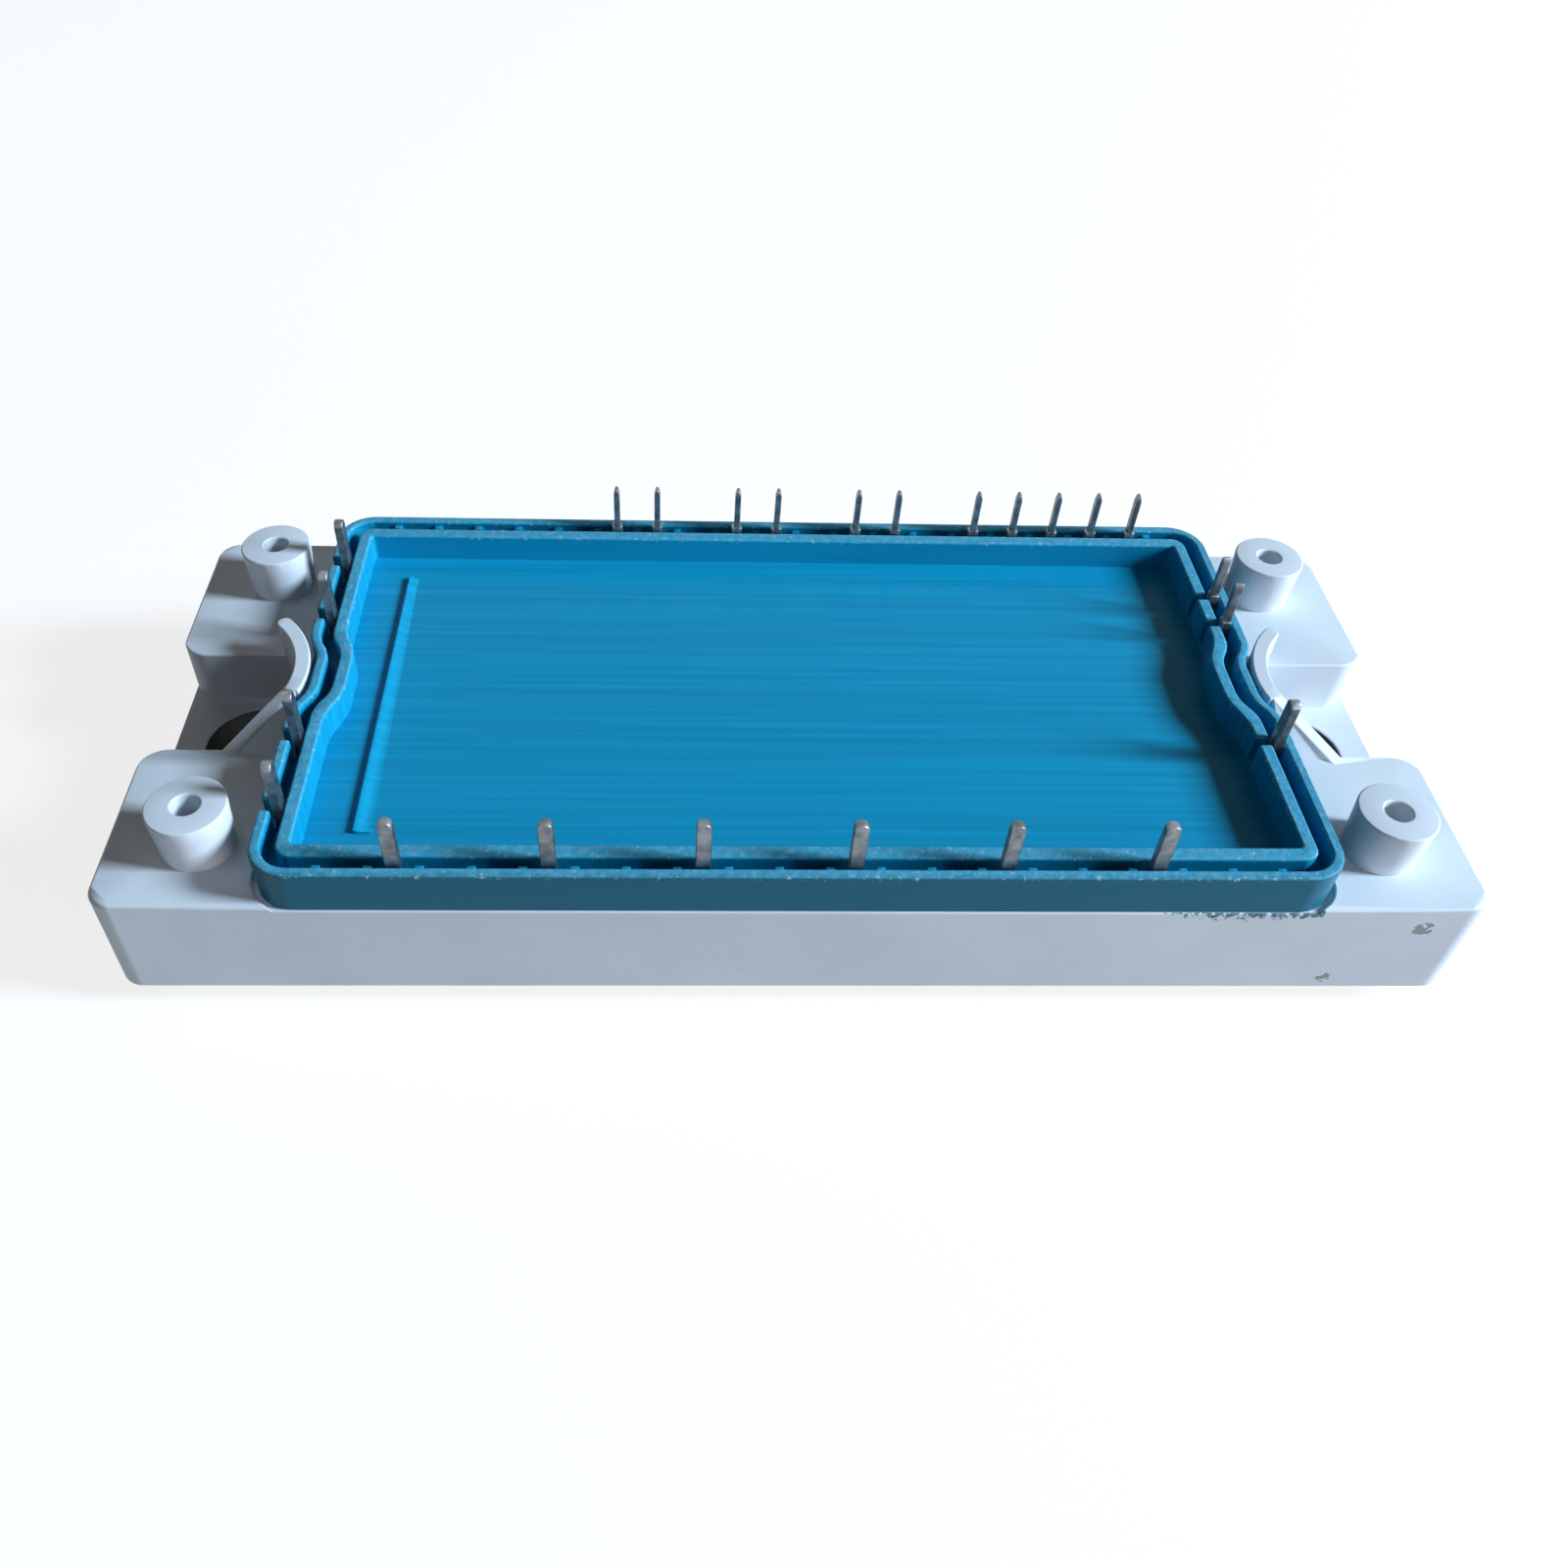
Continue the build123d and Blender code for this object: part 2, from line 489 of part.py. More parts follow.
def island_table():
    """Copper islands as name to (x0, x1, y0, y1), laid out in three zones along the substrate."""
    width = 2 * COPPER_Y
    gap = ISLAND_GAP
    sensor_start = COPPER_X - SENSOR_PAD_LENGTH
    motor_start = sensor_start - gap - 3 * (PAIR_LENGTH + PAIR_GAP)
    brake_end = motor_start - gap
    rectifier_part = RECTIFIER_SHARE / (RECTIFIER_SHARE + BRAKE_SHARE)
    rectifier_end = -COPPER_X + rectifier_part * (brake_end + COPPER_X)
    brake_start = rectifier_end + gap
    plus_foot = COPPER_Y - PLUS_RAIL_SHARE * width
    minus_top = -COPPER_Y + MINUS_RAIL_SHARE * width
    motor_minus_top = -COPPER_Y + MOTOR_MINUS_SHARE * width
    sensor_split = (plus_foot + COPPER_Y) / 2
    collector_foot = -COPPER_Y + MOTOR_MINUS_SHARE * width + gap
    islands = {
        "rectifier_plus": (-COPPER_X, rectifier_end, plus_foot, COPPER_Y),
        "rectifier_minus": (-COPPER_X, rectifier_end, -COPPER_Y, minus_top),
        "brake_plus": (brake_start, brake_end, gap / 2, COPPER_Y),
        "brake_collector": (brake_start, brake_end, collector_foot, -gap / 2),
        "brake_emitter": (brake_start, brake_end, -COPPER_Y, motor_minus_top),
        "motor_plus": (motor_start, sensor_start - gap, plus_foot, COPPER_Y),
        "motor_minus": (motor_start, COPPER_X, -COPPER_Y, motor_minus_top),
        "sensor_upper": (sensor_start, COPPER_X, sensor_split + gap / 2, COPPER_Y),
        "sensor_lower": (sensor_start, COPPER_X, plus_foot, sensor_split - gap / 2),
    }
    rows = [
        ("mains_phase", -COPPER_X, rectifier_end, minus_top + gap, plus_foot - gap),
        ("motor_phase", motor_start, COPPER_X, motor_minus_top + gap, plus_foot - gap),
    ]
    for name, x0, x1, y0, y1 in rows:
        step = (x1 - x0 + gap) / 3
        for number in range(3):
            left = x0 + number * step
            islands[f"{name}_{number + 1}"] = (left, left + step - gap, y0, y1)
    return islands


def thirds(edges):
    """Middles of the three equal lengths of an island."""
    x0, x1, y0, y1 = edges
    return [(x0 + (x1 - x0) * share, (y0 + y1) / 2) for share in (1 / 6, 1 / 2, 5 / 6)]


def middle(edges):
    """Middle of an island."""
    x0, x1, y0, y1 = edges
    return (x0 + x1) / 2, (y0 + y1) / 2


def chip_table():
    """Chips as name to (x, y, side length, island that its wires land on)."""
    islands = island_table()
    chips = {}
    upper = thirds(islands["rectifier_plus"])
    for number in range(3):
        phase = f"mains_phase_{number + 1}"
        chips[f"rectifier_diode_{number + 1}"] = (*upper[number], RECTIFIER_SIZE, phase)
        place = middle(islands[phase])
        chips[f"rectifier_diode_{number + 4}"] = (*place, RECTIFIER_SIZE, "rectifier_minus")
    igbt_shift, diode_shift = (IGBT_SIZE - PAIR_LENGTH) / 2, (PAIR_LENGTH - FREEWHEEL_SIZE) / 2
    upper = thirds(islands["motor_plus"])
    for number in range(3):
        phase = f"motor_phase_{number + 1}"
        for (x, y), first, target in (
            (upper[number], 1, phase),
            (middle(islands[phase]), 4, "motor_minus"),
        ):
            chips[f"igbt_{number + first}"] = (x + igbt_shift, y, IGBT_SIZE, target)
            chips[f"freewheel_diode_{number + first}"] = (x + diode_shift, y, FREEWHEEL_SIZE, target)
    chips["brake_igbt"] = (*middle(islands["brake_collector"]), IGBT_SIZE, "brake_emitter")
    chips["brake_diode"] = (*middle(islands["brake_plus"]), FREEWHEEL_SIZE, "brake_collector")
    return chips


def wire_loop(start, start_z, end, end_z, loop, crest_share):
    """One bond wire: two flat feet joined by a loop that is highest at a share of its span."""
    run = Vector(end[0] - start[0], end[1] - start[1], 0)
    span = run.length
    crest_x, crest_z = crest_share * span, max(start_z, end_z) + loop
    outer = [(0, start_z), (crest_x, crest_z + WIRE_WIDTH), (span, end_z)]
    inner = [(span - WIRE_WIDTH, end_z), (crest_x, crest_z), (WIRE_WIDTH, start_z)]
    side = Plane(origin=(start[0], start[1], 0), x_dir=run, z_dir=run.cross(Vector(0, 0, 1)))
    profile = make_face(Polyline(*outer, *inner, close=True))
    return extrude(side * profile, WIRE_WIDTH / 2, both=True)


def chip_wires():
    """Bond wires from each chip's upper face to the island in front of it, two for a transistor."""
    islands = island_table()
    wires = []
    for x, y, size, target in chip_table().values():
        landing_y = islands[target][3] - WIRE_LANDING
        for offset in (-size / 4, size / 4) if size == IGBT_SIZE else (0,):
            start, end = (x + offset, y), (x + offset, landing_y)
            wires.append(wire_loop(start, CHIP_TOP_Z, end, ISLAND_TOP_Z, WIRE_LOOP, WIRE_CREST_SHARE))
    return wires


def pin_wires():
    """Bond wires from each pin's foot down to the edge of the substrate, two for a power pin."""
    foot_x = WELL_LENGTH / 2 + 2 * PIN_FOOT_SETBACK
    foot_y = WELL_WIDTH / 2 + 2 * PIN_FOOT_SETBACK
    land_x, land_y = COPPER_X - WIRE_LANDING, COPPER_Y - WIRE_LANDING
    wires = []
    for _, x, y, turns, power in pin_table():
        side_row = turns in (0, 2)
        sign = 1 if turns in (1, 2) else -1
        along = nearest_copper(x if side_row else y, turns)
        for shift in (-POWER_PIN_WIDTH / 4, POWER_PIN_WIDTH / 4) if power else (0,):
            if side_row:
                start, end = (x + shift, sign * foot_y), (along + shift, sign * land_y)
            else:
                start, end = (sign * foot_x, y + shift), (sign * land_x, along + shift)
            wires.append(
                wire_loop(start, FOOT_TOP_Z, end, ISLAND_TOP_Z, WIRE_DROP_LOOP, WIRE_DROP_CREST_SHARE)
            )
    return wires


def nearest_copper(place, turns):
    """The place along an edge of the substrate nearest to a pin where its wires land on one island."""
    margin = POWER_PIN_WIDTH / 4 + WIRE_WIDTH
    edge = {0: (2, -COPPER_Y), 1: (1, COPPER_X), 2: (3, COPPER_Y), 3: (0, -COPPER_X)}
    index, level = edge[turns]
    spans = []
    for edges in island_table().values():
        if abs(edges[index] - level) < ISLAND_GAP / 2:
            spans.append(edges[:2] if turns in (0, 2) else edges[2:])
    choices = [min(max(place, low + margin), high - margin) for low, high in spans]
    return min(choices, key=lambda choice: abs(choice - place))


def silicone_gel(contents):
    """Soft gel that fills the cavity over the substrate, round everything that stands in it."""
    well = slab(WELL_LENGTH, WELL_WIDTH, PLATE_THICKNESS, SHELF_Z, CAVITY_CORNER_R)
    upper = slab(CAVITY_LENGTH, CAVITY_WIDTH, SHELF_Z, GEL_TOP_Z, CAVITY_CORNER_R)
    return (well + upper) - contents


def main():
    """Builds every piece and writes one file for each."""
    nodes = {
        "housing_frame": housing_frame(),
        "lid": lid(),
        "baseplate": baseplate(),
    }
    foil = (2 * COPPER_X, 2 * COPPER_Y)
    inside = {
        "adhesive_bead": adhesive_bead(),
        "substrate_solder": slab(*foil, PLATE_THICKNESS, LOWER_COPPER_Z),
        "substrate_lower_copper": slab(*foil, LOWER_COPPER_Z, CERAMIC_Z),
        "substrate_ceramic": slab(SUBSTRATE_LENGTH, SUBSTRATE_WIDTH, CERAMIC_Z, UPPER_COPPER_Z),
    }
    islands = island_table()
    copper = [block(*edges, UPPER_COPPER_Z, ISLAND_TOP_Z) for edges in islands.values()]
    inside["substrate_copper_islands"] = Compound(copper)
    pads = []
    for name, (x, y, size, _) in chip_table().items():
        edges = (x - size / 2, x + size / 2, y - size / 2, y + size / 2)
        pads.append(block(*edges, ISLAND_TOP_Z, CHIP_Z))
        inside[name] = block(*edges, CHIP_Z, CHIP_TOP_Z)
    inside["chip_solder"] = Compound(pads)
    sensor_x, _, sensor_y, _ = islands["sensor_upper"]
    sensor_place = Pos(sensor_x + NTC_WIDTH / 2, sensor_y - ISLAND_GAP / 2, ISLAND_TOP_Z + NTC_HEIGHT / 2)
    inside["temperature_sensor"] = sensor_place * Box(NTC_WIDTH, NTC_LENGTH, NTC_HEIGHT)
    for name, x, y, turns, power in pin_table():
        inside[name] = set_pin(pin_solid(turns, power), x, y, turns)
    inside["bond_wires"] = Compound(chip_wires() + pin_wires())
    nodes.update(inside)
    nodes["silicone_gel"] = silicone_gel(list(inside.values()))
    os.makedirs("parts", exist_ok=True)
    for name, shape in nodes.items():
        export_step(shape, f"parts/{name}.step")


main()
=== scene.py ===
"""Looks of a power semiconductor module: white frame, teal lid, plated baseplate and rows of solder pins.

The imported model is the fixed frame, in metres. Everything here dresses it or stands in for one of its nodes.
Sizes in the classes and constants are millimetres, unless they say otherwise.
"""
from __future__ import annotations

import logging
import math
from contextlib import contextmanager
from dataclasses import dataclass
from enum import Enum
from typing import Iterator

import bmesh
import bpy
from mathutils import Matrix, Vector

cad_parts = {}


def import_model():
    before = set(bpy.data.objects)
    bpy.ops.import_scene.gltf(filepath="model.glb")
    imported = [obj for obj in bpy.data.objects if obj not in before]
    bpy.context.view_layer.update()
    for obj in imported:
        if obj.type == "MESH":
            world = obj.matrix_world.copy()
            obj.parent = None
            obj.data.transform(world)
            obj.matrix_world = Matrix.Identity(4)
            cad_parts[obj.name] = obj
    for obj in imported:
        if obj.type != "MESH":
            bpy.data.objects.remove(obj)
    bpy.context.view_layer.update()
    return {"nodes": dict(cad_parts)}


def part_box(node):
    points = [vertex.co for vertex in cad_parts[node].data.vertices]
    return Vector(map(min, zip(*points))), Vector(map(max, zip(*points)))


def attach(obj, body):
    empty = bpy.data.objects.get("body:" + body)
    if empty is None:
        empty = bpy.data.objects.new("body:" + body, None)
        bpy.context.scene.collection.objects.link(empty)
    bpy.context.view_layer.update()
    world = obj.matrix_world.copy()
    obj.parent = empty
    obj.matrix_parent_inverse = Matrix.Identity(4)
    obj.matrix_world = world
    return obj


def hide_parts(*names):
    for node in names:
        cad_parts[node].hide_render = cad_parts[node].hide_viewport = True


MM = 0.001
LOG = logging.getLogger("module_looks")

Colour = tuple[float, float, float, float]
Limits = tuple[float, float]

# Screw wells in the two ears: how far out they are, and the radius of the shade painted in them
SCREW_X = 46.5
WELL_SHADE_R = 4.75

# Mesh work: reach that joins doubles, turns that are still flat or already sharp, bias to large faces
MERGE_REACH = 0.0005
FLAT_DEGREES = 0.3
SHARP_DEGREES = 32.0
NORMAL_WEIGHT = 60

# Sockets of a Mix node that mixes colours, where the names recur
MIX_SHARE = 0
MIX_FIRST = 6
MIX_SECOND = 7
MIX_RESULT = 2

# Octaves of a noise pattern, from a soft cloud to a ragged edge
SOFT = 1.0
EVEN = 2.0
MIXED = 3.0
ROUGH = 4.0
RAGGED = 5.0

# Limits of a noise pattern that share a surface evenly between two tones
EVEN_SPLIT = (0.35, 0.65)

# Hidden rolled and drawn metals: how much longer than wide their lines are
ROLLED_STRETCH = 12.0

# What drops a place's height, the middle of the mounting face, and plain white
PLAN = (1.0, 1.0, 0.0)
ORIGIN = (0.0, 0.0, 0.0)
WHITE = (1.0, 1.0, 1.0, 1.0)


class Slot(Enum):
    """Material slots of the record."""

    FRAME = "frame_plastic"
    LID = "lid_plastic"
    PLATE = "plated_copper"
    GLUE = "adhesive"
    SOLDER = "solder"
    FOIL = "copper_foil"
    CERAMIC = "alumina"
    CHIP = "silicon"
    SENSOR = "sensor_ceramic"
    PIN = "tinned_copper"
    WIRE = "bond_aluminium"
    GEL = "gel"


class Grain(Enum):
    """Kinds of fine pattern on the inner pieces."""

    SPECKLE = "speckle"
    ROLLED = "rolled"
    CLOUDY = "cloudy"


def srgb(code: str) -> Colour:
    """Turns a hex colour into linear light.

    Args:
        code: Six hex digits after a hash.

    Returns:
        Red, green, blue and full alpha.
    """
    parts = [int(code[i : i + 2], 16) / 255 for i in (1, 3, 5)]
    linear = [c / 12.92 if c <= 0.04045 else ((c + 0.055) / 1.055) ** 2.4 for c in parts]
    return linear[0], linear[1], linear[2], 1.0


def per(size: float) -> float:
    """Scale of a pattern whose features are about one size in millimetres."""
    return 1 / (size * MM)


def between(limits: Limits) -> dict[str, float]:
    """Inputs of a Map Range node that spreads the values between two limits."""
    return {"From Min": limits[0], "From Max": limits[1]}


def fill_inputs(tree: bpy.types.NodeTree, node: bpy.types.Node, inputs: dict) -> None:
    """Gives a node's inputs their values and links.

    Args:
        tree: The node tree that the node is in.
        node: The node.
        inputs: Value or linked output for each input, by name or number.
    """
    for name, value in inputs.items():
        if isinstance(value, bpy.types.NodeSocket):
            tree.links.new(value, node.inputs[name])
        else:
            node.inputs[name].default_value = value


def add_node(
    tree: bpy.types.NodeTree, kind: str, inputs: dict | None = None, **settings: object
) -> bpy.types.Node:
    """Adds one node with its settings, values and links.

    Args:
        tree: The node tree that gets it.
        kind: Blender's name for the kind of node.
        inputs: Value or linked output for each input, by name or number.
        settings: The node's own properties.

    Returns:
        The new node.
    """
    node = tree.nodes.new(kind)
    for name, value in settings.items():
        setattr(node, name, value)
    fill_inputs(tree, node, inputs or {})
    return node


def blank_material(name: str) -> tuple[bpy.types.Material, bpy.types.NodeTree, bpy.types.NodeSocket]:
    """Makes a material that holds only its shader and its coordinates.

    Args:
        name: Name of the material.

    Returns:
        The material, its node tree, and the place on the object that its patterns read.
    """
    made = bpy.data.materials.new(name)
    made.use_nodes = True
    place = add_node(made.node_tree, "ShaderNodeTexCoord").outputs["Object"]
    return made, made.node_tree, place


def deselect_all() -> None:
    """Leaves no object selected."""
    bpy.ops.object.select_all(action="DESELECT")


def make_active(piece: bpy.types.Object) -> None:
    """Selects one object alone and makes it the active one.

    Args:
        piece: The object.
    """
    deselect_all()
    piece.select_set(True)
    bpy.context.view_layer.objects.active = piece


@contextmanager
def edit_mode(piece: bpy.types.Object) -> Iterator[None]:
    """Opens a piece in edit mode and closes it again.

    Args:
        piece: The piece.
    """
    make_active(piece)
    bpy.ops.object.mode_set(mode="EDIT")
    yield
    bpy.ops.object.mode_set(mode="OBJECT")


def merged_copy(node: bpy.types.Object, name: str) -> bpy.types.Object:
    """Copies a CAD node and joins its loose triangles.

    Args:
        node: The CAD node.
        name: Name of the new piece.

    Returns:
        The copy, at the same place.
    """
    piece = bpy.data.objects.new(name, node.data.copy())
    piece.data.materials.clear()
    bpy.context.scene.collection.objects.link(piece)
    with edit_mode(piece):
        bpy.ops.mesh.select_all(action="SELECT")
        bpy.ops.mesh.remove_doubles(threshold=MERGE_REACH * MM)
        bpy.ops.mesh.customdata_custom_splitnormals_clear()
    return piece


def apply_modifier(piece: bpy.types.Object, kind: str, **settings: object) -> None:
    """Adds one modifier with its settings and applies it.

    Args:
        piece: The piece.
        kind: Blender's name for the kind of modifier.
        settings: The modifier's own properties.
    """
    modifier = piece.modifiers.new(kind.lower(), kind)
    for name, value in settings.items():
        setattr(modifier, name, value)
    make_active(piece)
    bpy.ops.object.modifier_apply(modifier=modifier.name)


def mark_outward(piece: bpy.types.Object, sharp_degrees: float) -> None:
    """Marks the sharp edges that stick out, for the bevel.

    Args:
        piece: The piece.
        sharp_degrees: Edges that turn more than this are sharp.
    """
    marks = piece.data.attributes.new("bevel_weight_edge", "FLOAT", "EDGE")
    shape = bmesh.new()
    shape.from_mesh(piece.data)
    for edge in shape.edges:
        if edge.is_convex and edge.calc_face_angle(0.0) > math.radians(sharp_degrees):
            marks.data[edge.index].value = 1.0
    shape.free()


def soften(
    piece: bpy.types.Object, radius: float, segments: int, sharp_degrees: float = SHARP_DEGREES
) -> None:
    """Rounds every outward sharp edge of a piece and shades it smooth up to its sharp edges.

    Args:
        piece: The piece.
        radius: Width of the rounding in millimetres.
        segments: Faces across the rounding.
        sharp_degrees: Edges that turn more than this are rounded.
    """
    with edit_mode(piece):
        bpy.ops.mesh.select_all(action="SELECT")
        bpy.ops.mesh.tris_convert_to_quads(
            face_threshold=math.radians(FLAT_DEGREES), shape_threshold=math.pi
        )
    mark_outward(piece, sharp_degrees)
    apply_modifier(
        piece,
        "BEVEL",
        width=radius * MM,
        segments=segments,
        limit_method="WEIGHT",
        loop_slide=False,
        use_clamp_overlap=False,
        miter_outer="MITER_SHARP",
        face_strength_mode="FSTR_ALL",
        harden_normals=False,
    )
    make_active(piece)
    bpy.ops.object.shade_smooth_by_angle(angle=math.radians(sharp_degrees))
    apply_modifier(piece, "WEIGHTED_NORMAL", keep_sharp=True, use_face_influence=True, weight=NORMAL_WEIGHT)


def dress(piece: bpy.types.Object, material: bpy.types.Material) -> None:
    """Gives a piece one material all over."""
    piece.data.materials.clear()
    piece.data.materials.append(material)


def settle(piece: bpy.types.Object, replaced: str | None = None) -> None:
    """Puts a piece on the part's body and in place of its CAD node.

    Args:
        piece: The finished piece.
        replaced: The CAD node that it stands for, if any.
    """
    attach(piece, "root")
    if replaced:
        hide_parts(replaced)
    LOG.info("%s: %d faces", piece.name, len(piece.data.polygons))


def well_shade_share(
    tree: bpy.types.NodeTree, place: bpy.types.NodeSocket, heights: Limits
) -> bpy.types.NodeSocket:
    """One inside the two screw wells, where shade is painted, and nought elsewhere.

    Args:
        tree: The material's node tree.
        place: Object coordinates.
        heights: Where it starts and ends in millimetres.

    Returns:
        The share.
    """
    low_z, high_z = heights
    z = add_node(tree, "ShaderNodeSeparateXYZ", {0: place}).outputs[2]
    above = add_node(tree, "ShaderNodeMath", {0: z, 1: low_z * MM}, operation="GREATER_THAN").outputs[0]
    below = add_node(tree, "ShaderNodeMath", {0: z, 1: high_z * MM}, operation="LESS_THAN").outputs[0]
    flat = add_node(tree, "ShaderNodeVectorMath", {0: place, 1: PLAN}, operation="MULTIPLY").outputs[0]
    folded = add_node(tree, "ShaderNodeVectorMath", {0: flat}, operation="ABSOLUTE").outputs[0]
    screw = (SCREW_X * MM, 0.0, 0.0)
    far = add_node(tree, "ShaderNodeVectorMath", {0: folded, 1: screw}, operation="DISTANCE")
    near = add_node(
        tree, "ShaderNodeMath", {0: far.outputs["Value"], 1: WELL_SHADE_R * MM}, operation="LESS_THAN"
    ).outputs[0]
    band = add_node(tree, "ShaderNodeMath", {0: above, 1: below}, operation="MULTIPLY").outputs[0]
    return add_node(tree, "ShaderNodeMath", {0: band, 1: near}, operation="MULTIPLY").outputs[0]


@dataclass(frozen=True)
class FramePlastic:
    """Glass-filled PBT, injection moulded in a spark-eroded tool: cool white, with a fine even tooth.

    The tooth is drawn a few times as coarse as the real one, so that it shows.
    """

    base: str = "#DFE6EC"
    shade: str = "#D5DDE5"
    cloud_size: float = 9.0
    cloud_limits: Limits = (0.35, 0.7)
    roughness: float = 0.46
    ior: float = 1.5
    spark_pitch: float = 0.22
    spark_strength: float = 0.22
    spark_depth: float = 0.03
    # Painted shade inside the screw wells: its colour, and the heights it spans
    well_shade: str = "#3A403F"
    well_shade_heights: Limits = (0.0, 7.1)
    front_y: float = -22.4
    grime: str = "#6F6A66"
    specks: tuple[tuple[float, float, float], ...] = ((48.8, 10.1, 0.85), (43.1, 3.7, 0.65))
    speck_ragged_size: float = 0.5
    speck_limits: Limits = (0.34, 0.52)
    speck_cover: float = 0.75
    residue_light: str = "#4C8796"
    residue_dark: str = "#25464F"
    residue_tone_size: float = 0.25
    residue_tone_limits: Limits = (0.42, 0.58)
    residue_left_x: float = 27.0
    residue_right_x: float = 40.3
    residue_top_z: float = 12.45
    residue_drop: float = 1.5
    residue_fade: float = 5.0
    residue_least: float = 0.5
    residue_ragged_size: float = 0.55
    residue_ragged_limits: Limits = (0.36, 0.62)
    residue_raggedness: float = 0.7

    def material(self) -> bpy.types.Material:
        """Builds the node tree of the white plastic.

        Returns:
            The material.
        """
        made, tree, place = blank_material("white_pbt_spark_finish")
        cloud = add_node(
            tree, "ShaderNodeTexNoise", {"Vector": place, "Scale": per(self.cloud_size), "Detail": MIXED}
        ).outputs[0]
        tone = add_node(
            tree, "ShaderNodeMapRange", {"Value": cloud, **between(self.cloud_limits)}
        ).outputs[0]
        colour = add_node(
            tree,
            "ShaderNodeMix",
            {MIX_SHARE: tone, MIX_FIRST: srgb(self.base), MIX_SECOND: srgb(self.shade)},
            data_type="RGBA",
        ).outputs[MIX_RESULT]
        for x, z, size in self.specks:
            colour = self.speck(tree, place, colour, (x, z), size)
        colour = self.residue(tree, place, colour)
        # Darkens the screw wells with painted shade
        well_shade = well_shade_share(tree, place, self.well_shade_heights)
        colour = add_node(
            tree,
            "ShaderNodeMix",
            {MIX_SHARE: well_shade, MIX_FIRST: colour, MIX_SECOND: srgb(self.well_shade)},
            data_type="RGBA",
        ).outputs[MIX_RESULT]
        grain = add_node(
            tree, "ShaderNodeTexNoise", {"Vector": place, "Scale": per(self.spark_pitch), "Detail": EVEN}
        ).outputs[0]
        bump = add_node(
            tree,
            "ShaderNodeBump",
            {"Height": grain, "Strength": self.spark_strength, "Distance": self.spark_depth * MM},
        ).outputs[0]
        fill_inputs(
            tree,
            tree.nodes["Principled BSDF"],
            {"Base Color": colour, "Normal": bump, "Roughness": self.roughness, "IOR": self.ior},
        )
        return made

    def speck(
        self,
        tree: bpy.types.NodeTree,
        place: bpy.types.NodeSocket,
        under: bpy.types.NodeSocket,
        spot: tuple[float, float],
        size: float,
    ) -> bpy.types.NodeSocket:
        """Lays one small ragged speck of dirt over a colour.

        Args:
            tree: The material's node tree.
            place: Object coordinates.
            under: Colour below the speck.
            spot: Place along the front face and height, in millimetres.
            size: Radius in millimetres.

        Returns:
            The colour with the speck on it.
        """
        x, z = spot
        middle = (x * MM, self.front_y * MM, z * MM)
        far = add_node(tree, "ShaderNodeVectorMath", {0: place, 1: middle}, operation="DISTANCE")
        ragged = add_node(
            tree,
            "ShaderNodeTexNoise",
            {"Vector": place, "Scale": per(self.speck_ragged_size), "Detail": EVEN},
        ).outputs[0]
        reach = add_node(
            tree, "ShaderNodeMapRange", {"Value": ragged, **between(self.speck_limits), "To Max": size * MM}
        ).outputs[0]
        inside = add_node(
            tree, "ShaderNodeMath", {0: far.outputs["Value"], 1: reach}, operation="LESS_THAN"
        ).outputs[0]
        share = add_node(
            tree, "ShaderNodeMath", {0: inside, 1: self.speck_cover}, operation="MULTIPLY"
        ).outputs[0]
        return add_node(
            tree,
            "ShaderNodeMix",
            {MIX_SHARE: share, MIX_FIRST: under, MIX_SECOND: srgb(self.grime)},
            data_type="RGBA",
        ).outputs[MIX_RESULT]

    def residue(
        self, tree: bpy.types.NodeTree, place: bpy.types.NodeSocket, under: bpy.types.NodeSocket
    ) -> bpy.types.NodeSocket:
        """Smears ragged teal shavings below the lid at the right of the front face.

        Args:
            tree: The material's node tree.
            place: Object coordinates.
            under: Colour below the shavings.

        Returns:
            The colour with the shavings on it.
        """
        x, y, z = add_node(tree, "ShaderNodeSeparateXYZ", {0: place}).outputs
        left, right = self.residue_left_x * MM, self.residue_right_x * MM
        full = (self.residue_left_x + self.residue_fade) * MM
        fade_in = add_node(
            tree, "ShaderNodeMapRange", {"Value": x, **between((left, full)), "To Min": self.residue_least}
        ).outputs[0]
        before_end = add_node(tree, "ShaderNodeMath", {0: x, 1: right}, operation="LESS_THAN").outputs[0]
        after_start = add_node(tree, "ShaderNodeMath", {0: x, 1: left}, operation="GREATER_THAN").outputs[0]
        in_front = add_node(
            tree, "ShaderNodeMath", {0: y, 1: self.front_y * MM}, operation="LESS_THAN"
        ).outputs[0]
        ragged = add_node(
            tree,
            "ShaderNodeTexNoise",
            {
                "Vector": place,
                "Scale": per(self.residue_ragged_size),
                "Detail": RAGGED,
                "Roughness": self.residue_raggedness,
            },
        ).outputs[0]
        drop = add_node(
            tree,
            "ShaderNodeMapRange",
            {"Value": ragged, **between(self.residue_ragged_limits), "To Max": self.residue_drop * MM},
        ).outputs[0]
        reach = add_node(tree, "ShaderNodeMath", {0: drop, 1: fade_in}, operation="MULTIPLY").outputs[0]
        down = add_node(
            tree, "ShaderNodeMath", {0: self.residue_top_z * MM, 1: z}, operation="SUBTRACT"
        ).outputs[0]
        share = add_node(tree, "ShaderNodeMath", {0: down, 1: reach}, operation="LESS_THAN").outputs[0]
        for limit in (before_end, after_start, in_front):
            share = add_node(tree, "ShaderNodeMath", {0: share, 1: limit}, operation="MULTIPLY").outputs[0]
        tones = add_node(
            tree,
            "ShaderNodeTexNoise",
            {"Vector": place, "Scale": per(self.residue_tone_size), "Detail": MIXED},
        ).outputs[0]
        tone = add_node(
            tree, "ShaderNodeMapRange", {"Value": tones, **between(self.residue_tone_limits)}
        ).outputs[0]
